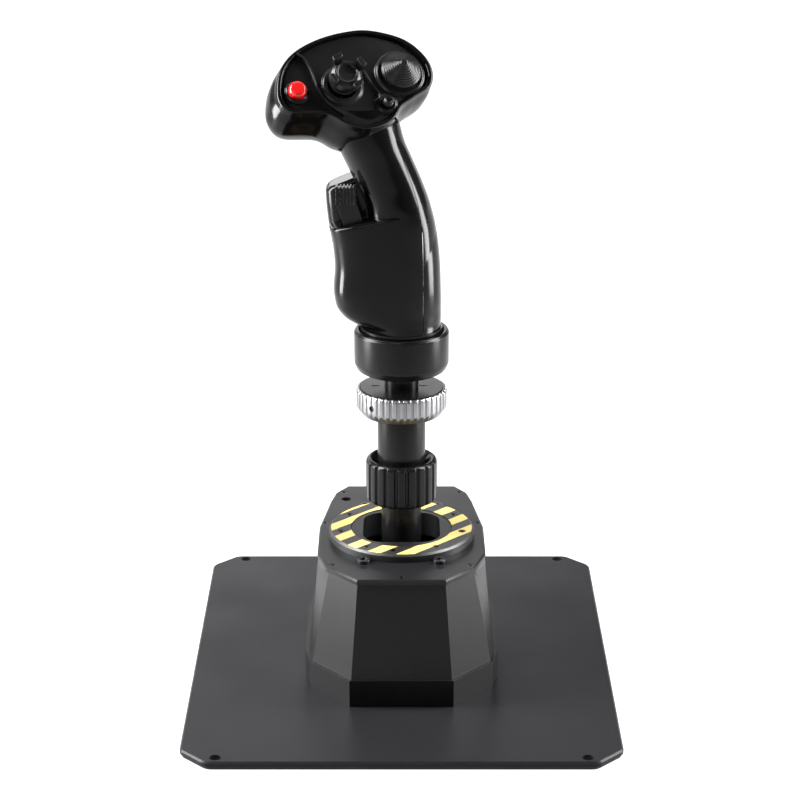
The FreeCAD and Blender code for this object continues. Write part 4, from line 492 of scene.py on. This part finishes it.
# holes for the grip screws' heads: X where each starts, Y and Z
SCREW_HOLES = {"hole_low": (17.5, 12.0, 232.0), "hole_mid": (15.5, 12.0, 268.0),
               "hole_top": (7.4, 6.0, 303.0)}
SCREW_HOLE_RADIUS = 3.0
OUTSIDE = 60.0           # a distance past every side of the grip


def outline(z, t, levels, inset=0.0):
    """Superellipse at height z: each half has its own reach and squareness; inset moves it inwards."""
    left, right, back, front, left_power, right_power = np.moveaxis(easing(z, levels), -1, 0)
    left, right, back, front = left + inset, right - inset, back + inset, front - inset
    c, s = np.cos(t), np.sin(t)
    power = 2 / np.where(c > 0, right_power, left_power)
    x = (left + right) / 2 + (right - left) / 2 * np.sign(c) * np.abs(c) ** power
    y = (back + front) / 2 + (front - back) / 2 * np.sign(s) * np.abs(s) ** power
    return x, y


def even_turn(count, levels, z):
    """Angles that space points evenly along the outline at height z."""
    t = np.linspace(0, 2 * pi, 2049)
    x, y = outline(np.full_like(t, z), t, levels)
    along = np.concatenate([[0], np.cumsum(np.hypot(np.diff(x), np.diff(y)))])
    return np.interp(np.linspace(0, along[-1], count, endpoint=False), along, t)


LEAN_ROUNDS = 6          # times that a leaning ring's heights are worked out again
EDGE_STEPS = 8           # rings over a rolled edge, and in the flat top within it


def stalk(name, levels, start, end, rows, cols, plane=None, lip=0.0):
    """Closed stack of outlines from height start to end.

    With a plane (x, z, slope) the rings lean gradually until they lie in that plane, and the
    edge rolls over it with radius lip: inset lip * (1 - cos a), drop lip * (1 - sin a)."""
    t = even_turn(cols, levels, (start + end) / 2)[None, :]
    if plane is None:
        z = np.broadcast_to(np.linspace(start, end, rows)[:, None], (rows, cols))
        x, y = outline(z, np.broadcast_to(t, z.shape), levels)
        return skin(name, MM * np.stack([x, y, z], -1))
    px, pz, slope = plane
    lean = np.linspace(0, 1, rows)[:, None]
    roll = np.linspace(0, pi / 2, EDGE_STEPS)[1:, None]
    lean = np.vstack([lean, np.ones_like(roll)])
    drop = np.vstack([np.full((rows, 1), lip), lip * (1 - np.sin(roll))])
    inset = np.vstack([np.zeros((rows, 1)), lip * (1 - np.cos(roll))])
    t = np.broadcast_to(t, (len(lean), cols))
    z = np.full(t.shape, float(end))
    for _ in range(LEAN_ROUNDS):
        x, y = outline(z, t, levels, inset)
        z = (1 - lean) * start + lean * (pz + (x - px) * slope - drop)
    shrink = np.linspace(1, 0.05, EDGE_STEPS)[1:, None]
    cx, cy = x[-1].mean(), y[-1].mean()
    top_x, top_y = cx + (x[-1] - cx) * shrink, cy + (y[-1] - cy) * shrink
    top_z = pz + (top_x - px) * slope
    rings = [np.vstack(pair) for pair in ((x, top_x), (y, top_y), (z, top_z))]
    return skin(name, MM * np.stack(rings, -1))


def box_cutter(name, x0, x1, y0, y1, z0, z1):
    """Cutter with six flat sides."""
    ring = np.array([(x0, y0), (x1, y0), (x1, y1), (x0, y1)])
    rows = [np.column_stack([ring, np.full(4, z)]) for z in (z0, z1)]
    return skin(name, MM * np.array(rows), sharp=10)


def rod_cutter(name, x, y, z):
    """Rod for a screw's head, along X from x to the outside."""
    ring = turned([(SCREW_HOLE_RADIUS, x), (SCREW_HOLE_RADIUS, OUTSIDE)], 40)[..., [2, 0, 1]]
    return skin(name, MM * (ring + np.array([0, y, z])))


def seam_wall(name, gap):
    """Everything right of the seam, whose X at each height follows the seam table, moved by gap."""
    z = np.linspace(206, 349, 60)
    near = easing(z, SEAM)[:, 0] + gap
    far = np.full_like(z, OUTSIDE + 10)
    back, front = np.full_like(z, -OUTSIDE), np.full_like(z, OUTSIDE)
    sides = ((near, back), (far, back), (far, front), (near, front))
    return skin(name, MM * np.stack([np.column_stack([x, y, z]) for x, y in sides], 1), sharp=30)


# ---- head: its own directions ----------------------------------------------------------------

HEAD_MIDDLE = np.array([-28.0, -12.0, 355.0])
# how far the face looks up, is turned to the side and leans
RISE, YAW, ROLL = radians(40.0), radians(15.0), radians(6.0)
OUT = np.array([cos(RISE) * sin(YAW), -cos(RISE) * cos(YAW), sin(RISE)])
LEVEL = np.array([cos(YAW), sin(YAW), 0.0])
ACROSS = LEVEL * cos(ROLL) + np.cross(OUT, LEVEL) * sin(ROLL)
UPWARD = np.cross(OUT, ACROSS)
# outline of the face, along and up from the head's middle, and the point it shrinks towards
FACE_MIDDLE = np.array([3.5, 9.0])
FACE = np.array([
    (-25.9, 29.8), (-12.0, 35.2), (4.0, 37.6), (20.0, 36.6), (37.4, 28.9), (46.8, 18.4), (50.4, 7.0),
    (47.0, -3.4), (36.0, -9.0), (27.0, -13.6), (18.0, -21.6), (4.0, -24.6), (-8.0, -19.6), (-18.0, -11.6),
    (-37.2, -7.2), (-42.6, 1.4), (-40.6, 12.4), (-35.2, 22.0)])
CASTLE_AT, TRIM_AT, THUMB_AT, SMALL_AT = (-3.7, 5.0), (31.0, 7.0), (-30.5, 5.0), (18.4, -10.4)


def on_head(local):
    """Points (u, v, height) in the head's directions as points in the row's frame, in millimetres."""
    local = np.asarray(local, float)
    return HEAD_MIDDLE + local[..., :1] * ACROSS + local[..., 1:2] * UPWARD + local[..., 2:3] * OUT


def closed_curve(points, count):
    """Smooth closed curve through points: each piece is the cubic whose slopes are half the
    difference of its neighbours."""
    points = np.asarray(points, float)
    before, after = np.roll(points, 1, 0), np.roll(points, -1, 0)
    slope = (after - before) / 2
    at = np.linspace(0, len(points), count, endpoint=False)
    k = at.astype(int)
    t = (at - k)[:, None]
    nxt = (k + 1) % len(points)
    return ((2 * t ** 3 - 3 * t ** 2 + 1) * points[k] + (t ** 3 - 2 * t ** 2 + t) * slope[k]
            + (3 * t ** 2 - 2 * t ** 3) * points[nxt] + (t ** 3 - t ** 2) * slope[nxt])


RIM = closed_curve(FACE, 216)


def head_rings(rows):
    """Rings of the face outline: each row is (depth, scale, shift u, shift v)."""
    rows = np.asarray(rows, float)
    flat = FACE_MIDDLE + (RIM - FACE_MIDDLE) * rows[:, None, 1:2] + rows[:, None, 2:4]
    height = np.broadcast_to(-rows[:, None, :1], flat.shape[:2] + (1,))
    return MM * on_head(np.concatenate([flat, height], -1))


# sections of the head behind its face: depth, scale, shift along and up the face
HEAD_OUTER = [(4.5, 1.0, -0.4, -0.3), (12.0, 1.02, -2.0, -1.6), (20.0, 1.01, -3.4, -2.6),
              (28.0, 0.95, -3.8, -2.8), (34.0, 0.80, -3.8, -2.4), (36.8, 0.62, -3.8, -2.0),
              (37.7, 0.40, -3.8, -2.0), (38.0, 0.10, -3.8, -2.0)]
HEAD_INNER = [(4.5, 0.92, -0.4, -0.3), (12.0, 0.94, -2.0, -1.6), (20.0, 0.92, -3.4, -2.6),
              (28.0, 0.85, -3.8, -2.8), (33.0, 0.62, -3.8, -2.4), (34.5, 0.30, -3.8, -2.0)]
RIM_ROWS = [(4.5, 1.0, -0.4, -0.3), (1.7, 0.994, 0, 0), (0.9, 0.988, 0, 0), (0.4, 0.978, 0, 0),
            (0.25, 0.965, 0, 0), (0.3, 0.945, 0, 0), (1.0, 0.930, 0, 0), (2.4, 0.915, 0, 0),
            (3.2, 0.905, 0, 0), (4.5, 0.900, 0, 0)]
PANEL_ROWS = [(4.5, 0.05, 0, 0), (4.5, 0.5, 0, 0), (4.5, 0.898, 0, 0), (2.9, 0.898, 0, 0),
              (2.55, 0.89, 0, 0), (2.5, 0.88, 0, 0), (2.5, 0.6, 0, 0), (2.5, 0.3, 0, 0),
              (2.5, 0.05, 0, 0)]


def through(points, count=40):
    """Smooth open line through points of any kind, read by the monotone curve in point number."""
    points = np.asarray(points, float)
    table = np.column_stack([np.arange(len(points)), points])
    return easing(np.linspace(0, len(points) - 1, count), table)


outer_rings = head_rings(through(HEAD_OUTER, 44))
inner_rings = head_rings(through(HEAD_INNER, 24))
head_cup = skin("head_shell_skin", np.concatenate([inner_rings[::-1], outer_rings]))


def build_grip():
    """Palm, column and pod joined, split along the seam, with the slots for the levers."""
    body = stalk("grip_left_skin", PALM, 213.8, 262.0, 64, 144, LEDGE, 1.3)
    column = stalk("column", COLUMN, 247.0, 345.0, 64, 144)
    pod = stalk("pod", POD, 263.0, 300.0, 40, 128, POD_TOP, 2.6)
    combine(body, [column, pod], "UNION")
    cutters = [skin("head_solid", outer_rings)]
    cutters += [box_cutter(name, *sides) for name, sides in GRIP_SLOTS.items()]
    cutters += [rod_cutter(name, *place) for name, place in SCREW_HOLES.items()]
    combine(body, cutters, "DIFFERENCE")
    other = link("grip_right_skin", body.data.copy())
    combine(body, [seam_wall("seam_a", -SEAM_GAP)], "DIFFERENCE")
    combine(other, [seam_wall("seam_b", SEAM_GAP)], "INTERSECT")
    return body, other


grip_left, grip_right = build_grip()

# ---- head: rim, panel, switches -----------------------------------------------------------------

def head_turned(name, at, profile, count=72, loop=False, sharp=SHARP_ANGLE):
    """Profile turned about the head's outward direction at the place at."""
    local = turned(profile, count)
    local[..., 0] += at[0]
    local[..., 1] += at[1]
    return skin(name, MM * on_head(local), loop=loop, sharp=sharp)


rim = skin("head_rim", head_rings(through(RIM_ROWS, 30)), loop=True)
panel = skin("switch_panel_plate", head_rings(PANEL_ROWS))
PANEL_HOLES = ((CASTLE_AT, 8.4), (TRIM_AT, 8.4), (THUMB_AT, 5.5), (SMALL_AT, 3.7))
holes = [head_turned("hole", at, [(r, -8.0), (r, 2.0)], 56) for at, r in PANEL_HOLES]
combine(panel, holes, "DIFFERENCE")
settle(grip_left, "stick", "grip_black", "grip_left_shell")
settle(grip_right, "stick", "grip_black", "grip_right_shell")
settle(head_cup, "stick", "grip_black", "head_shell")
settle(rim, "stick", "grip_black", "head_bezel")
settle(panel, "stick", "switch_black", "switch_panel")

RING_FOOT = -2.5         # height of the rings' undersides, in the panel's face


def trim_ring(name, at, inner, outer, top):
    """Low raised ring with a rounded crest and a stepped outside."""
    line = closed_line([(inner, RING_FOOT), (outer, RING_FOOT), (outer - 0.5, top - 0.9),
                        (outer - 1.4, top - 0.5), (outer - 1.9, top), (inner + 0.3, top),
                        (inner, top - 0.4), (inner, RING_FOOT)], 0.4, 3)
    return head_turned(name, at, line, 96, loop=True)


# name, place, inner and outer radius, height of the crest
RINGS = [("castle_ring", CASTLE_AT, 8.4, 12.6, -0.9), ("trim_ring", TRIM_AT, 12.0, 15.0, -0.9),
         ("thumb_ring", THUMB_AT, 5.5, 7.4, -0.6), ("small_ring", SMALL_AT, 3.8, 6.8, -0.8)]
first_ring, *other_rings = [trim_ring(*row) for row in RINGS]
settle(first_ring, "stick", "switch_black", "switch_trim_rings")
for ring in other_rings:
    settle(ring, "stick", "switch_black")

PRONG_TURNS = (22, 112, 202, 292)
PRONG_RADIUS = 7.9       # from the hat's axis to a prong's middle at its root
PRONG_DEPTH = 1.5        # half sizes along and across the radius
PRONG_WIDTH = 3.1
PRONG_ROOT = 9.0
PRONG_LEAN = 0.24        # outward shift for each unit of height above the root
PRONG_SQUARE = 0.4       # power of the section's superellipse


def castle_prongs():
    """Four blocky prongs round the crown: a superellipse that widens and leans outwards as it rises.

    The section is sign(cos t) |cos t|^p along the radius by sign(sin t) |sin t|^p across it."""
    t = np.linspace(0, 2 * pi, 48, endpoint=False)[None, :]
    line = rounded([(0.05, 7.6), (0.86, 7.6), (1.0, 14.4), (0.96, 16.5), (0.84, 17.0), (0.05, 17.0)], 0.3)
    size, height = line[:, :1], line[:, 1:]
    depth = PRONG_DEPTH * size * np.sign(np.cos(t)) * np.abs(np.cos(t)) ** PRONG_SQUARE
    along = PRONG_RADIUS + depth + PRONG_LEAN * (height - PRONG_ROOT)
    side = PRONG_WIDTH * size * np.sign(np.sin(t)) * np.abs(np.sin(t)) ** PRONG_SQUARE
    prongs = []
    for turn in PRONG_TURNS:
        a = radians(turn)
        u = along * cos(a) - side * sin(a) + CASTLE_AT[0]
        v = along * sin(a) + side * cos(a) + CASTLE_AT[1]
        grid = np.stack([u, v, np.broadcast_to(height, u.shape)], -1)
        prongs.append(skin("prong", MM * on_head(grid), sharp=50))
    return prongs


def castle_hat():
    """Waisted crown with four prongs: its line is turned from the stem up to the dished top."""
    line = rounded([(0.05, -5.0), (3.4, -5.0), (3.4, -0.6), (5.5, -0.4), (5.5, 1.2), (7.8, 1.4),
                    (7.8, 2.1), (7.2, 2.5), (7.2, 3.0), (9.0, 5.2), (9.6, 8.4), (8.8, 11.8),
                    (6.8, 13.6), (6.0, 13.8), (5.2, 12.6), (0.05, 12.6)], 0.8)
    hat = head_turned("castle_hat_turned", CASTLE_AT, line)
    combine(hat, castle_prongs(), "UNION")
    return hat


TRIM_STEPS = 9           # steps of the cone, each drawn in by TRIM_STEP_IN over a height of 1
TRIM_STEP_IN = 1.02


def trim_hat():
    """Stepped cone on a round base, turned from the stem up to its small flat tip."""
    line = [(0.05, -5.0), (3.4, -5.0), (3.4, 1.2), (10.9, 1.2), (11.4, 1.7), (11.4, 2.6)]
    for k in range(TRIM_STEPS):
        radius = 10.8 - TRIM_STEP_IN * k
        line += [(radius, 2.9 + k), (radius - 0.3, 3.65 + k)]
    line += [(2.0, 12.1), (1.4, 12.4), (0.05, 12.4)]
    return head_turned("trim_hat_turned", TRIM_AT, rounded(line, 0.3, 2), 96, sharp=50)


def thumb_button():
    """Round cap with a soft edge."""
    line = rounded([(0.05, -6.0), (5.2, -6.0), (5.2, 1.4), (4.4, 3.4), (3.3, 3.9), (0.05, 4.0)], 0.9, 5)
    return head_turned("thumb_button_turned", THUMB_AT, line)


def small_button():
    """Round cap with a dished top."""
    line = rounded([(0.05, -6.0), (3.4, -6.0), (3.4, 1.4), (2.9, 2.2), (2.2, 2.1), (1.2, 1.3),
                    (0.05, 1.2)], 0.4)
    return head_turned("small_button_turned", SMALL_AT, line, 56)


castle = castle_hat()
stem_line = rounded([(0.05, -5.5), (3.3, -5.5), (3.3, 1.0), (0.05, 1.0)], 0.3, 2)
castle_stem = head_turned("castle_stem", CASTLE_AT, stem_line, 48)
settle(castle, "castle_hat", "switch_black", "castle_hat")
settle(castle_stem, "castle_hat", "switch_black")
settle(trim_hat(), "trim_hat", "switch_black", "trim_hat")
settle(thumb_button(), "thumb_button", "button_red", "thumb_button")
settle(small_button(), "small_button", "switch_black", "small_button")

RIDGE_FOOT = -2.6        # height of the dividers' foot, just under the panel's face


def ridge(name, line, width, height, base):
    """Raised rib along a line on the panel: a section carried along the path.

    Above the height base it is height * sqrt(sin t) over width / 2 * cos t, and shallow below it."""
    line = np.asarray(line, float)
    way = np.gradient(line, axis=0)
    way /= np.hypot(way[:, 0], way[:, 1])[:, None]
    side = np.column_stack([-way[:, 1], way[:, 0]])[:, None, :]
    t = np.linspace(0, 2 * pi, 20, endpoint=False)
    across = (width / 2 * np.cos(t))[None, :, None]
    lift = np.where(np.sin(t) > 0, height * np.abs(np.sin(t)) ** 0.5, 0.6 * np.sin(t))
    flat = line[:, None, :] + side * across
    up = np.broadcast_to(base + lift[None, :, None], flat.shape[:2] + (1,))
    return skin(name, MM * on_head(np.concatenate([flat, up], -1)))


# name, points along the panel, width, height, height of the foot
DIVIDERS = [
    ("divider_left", [(-25.0, 28.3), (-21.4, 24.6), (-19.4, 16.5), (-18.6, 6.9), (-16.2, -2.6),
                      (-11.0, -10.0), (-7.6, -13.4)], 1.7, 3.0, RIDGE_FOOT),
    ("divider_right", [(8.6, 16.0), (10.8, 12.0), (12.6, 4.0), (15.4, -3.6), (14.2, -6.4),
                       (11.8, -8.0)], 1.6, 2.2, RIDGE_FOOT),
    ("divider_low", [(20.6, -17.0), (21.6, -20.0), (22.0, -22.5)], 1.2, 1.2, -4.0),
]
for name, points, width, height, foot in DIVIDERS:
    settle(ridge(name, through(points), width, height, foot), "stick", "switch_black")

# ---- levers ----------------------------------------------------------------------------------------

# node, which is also its body, and the width of its rounded edges
LEVERS = [("selector_lever", 0.4), ("trigger", 1.2), ("paddle_lever", 0.8), ("pinky_button", 0.6)]
for node, width in LEVERS:
    settle(softened(node, width * MM, 3), node, SLOT_OF[node], node)

# ---- studio ----------------------------------------------------------------------------------------
# name, place, the point that it faces, width and height, power in watts
LAMPS = [("strip_left", (-0.62, -0.02, 0.5), (0, 0, 0.3), (0.26, 1.0), 36),
         ("strip_right", (0.62, 0.02, 0.5), (0, 0, 0.3), (0.26, 1.0), 27),
         ("overhead", (0.0, 0.6, 1.9), (0, 0, 0.1), (1.4, 1.0), 10),
         ("front_high", (-0.5, -2.0, 1.5), (0, 0, 0.3), (0.7, 0.5), 8),
         ("back_panel", (-0.9, 2.2, 0.82), (0, 0, 0.05), (2.6, 0.6), 14)]
FLOOR_SIDE = 9.0         # the floor's reach to each side, to the front and to the back
FLOOR_FRONT = 5.0
FLOOR_BACK = 14.0
FLOOR_DROP = 0.0002      # the floor lies this far under the mat
FLOOR_GREY = (0.22, 0.22, 0.22, 1)
FLOOR_GLOW = 0.97        # brightness of the floor where it is seen directly or in a reflection
WHITE = (1, 1, 1, 1)
SKY_COLOUR = (0.9, 0.93, 1.0, 1)
SKY_STRENGTH = 0.08
CAMERA_AT = (-0.0009, -1.30528, 0.62957)
CAMERA_DIP = 19.503      # degrees that the camera looks down
LENS_LENGTH = 105.453    # for a sensor 36 wide


def lamp(name, place, aim, size, power):
    """Rectangular soft lamp at place that faces aim and that the camera doesn't see."""
    data = bpy.data.lights.new(name, "AREA")
    data.shape = "RECTANGLE"
    data.size, data.size_y = size
    data.energy = power
    away = np.array(place, float) - np.array(aim, float)
    away /= np.linalg.norm(away)
    side = np.cross([0, 0, 1], away)
    side /= np.linalg.norm(side)
    turn = np.eye(4)
    turn[:3, 0], turn[:3, 1], turn[:3, 2], turn[:3, 3] = side, np.cross(away, side), away, place
    obj = link(name, data)
    obj.matrix_world = Matrix(turn.tolist())
    obj.visible_camera = False


def floor_paint():
    """Matt grey that looks near white to the camera, in reflections and through glass."""
    paint = bpy.data.materials.new("pale_floor")
    paint.use_nodes = True
    tree = paint.node_tree
    shader = tree.nodes["Principled BSDF"]
    shader.inputs["Base Color"].default_value = FLOOR_GREY
    shader.inputs["Roughness"].default_value = 0.9
    shader.inputs["Specular IOR Level"].default_value = 0.1
    shader.inputs["Emission Color"].default_value = WHITE
    path = tree.nodes.new("ShaderNodeLightPath")
    seen = maths(tree, "MAXIMUM", path.outputs["Is Camera Ray"],
                 maths(tree, "MAXIMUM", path.outputs["Is Glossy Ray"], path.outputs["Is Transmission Ray"]))
    tree.links.new(maths(tree, "MULTIPLY", seen, FLOOR_GLOW), shader.inputs["Emission Strength"])
    return paint


for row in LAMPS:
    lamp(*row)

corners = [(-FLOOR_SIDE, -FLOOR_FRONT, -FLOOR_DROP), (FLOOR_SIDE, -FLOOR_FRONT, -FLOOR_DROP),
           (FLOOR_SIDE, FLOOR_BACK, -FLOOR_DROP), (-FLOOR_SIDE, FLOOR_BACK, -FLOOR_DROP)]
floor_mesh = bpy.data.meshes.new("floor")
floor_mesh.from_pydata(corners, [], [(0, 1, 2, 3)])
floor_mesh.materials.append(floor_paint())
floor = link("floor", floor_mesh)

world = bpy.data.worlds.new("studio")
world.use_nodes = True
world.node_tree.nodes["Background"].inputs["Color"].default_value = SKY_COLOUR
world.node_tree.nodes["Background"].inputs["Strength"].default_value = SKY_STRENGTH
bpy.context.scene.world = world

lens = bpy.data.cameras.new("camera")
lens.lens = LENS_LENGTH
lens.sensor_width = 36.0
lens.clip_end = 60.0
camera = link("camera", lens)
camera.location = CAMERA_AT
camera.rotation_euler = (radians(90 - CAMERA_DIP), 0, 0)
bpy.context.scene.camera = camera
bpy.context.scene.view_settings.view_transform = "Standard"
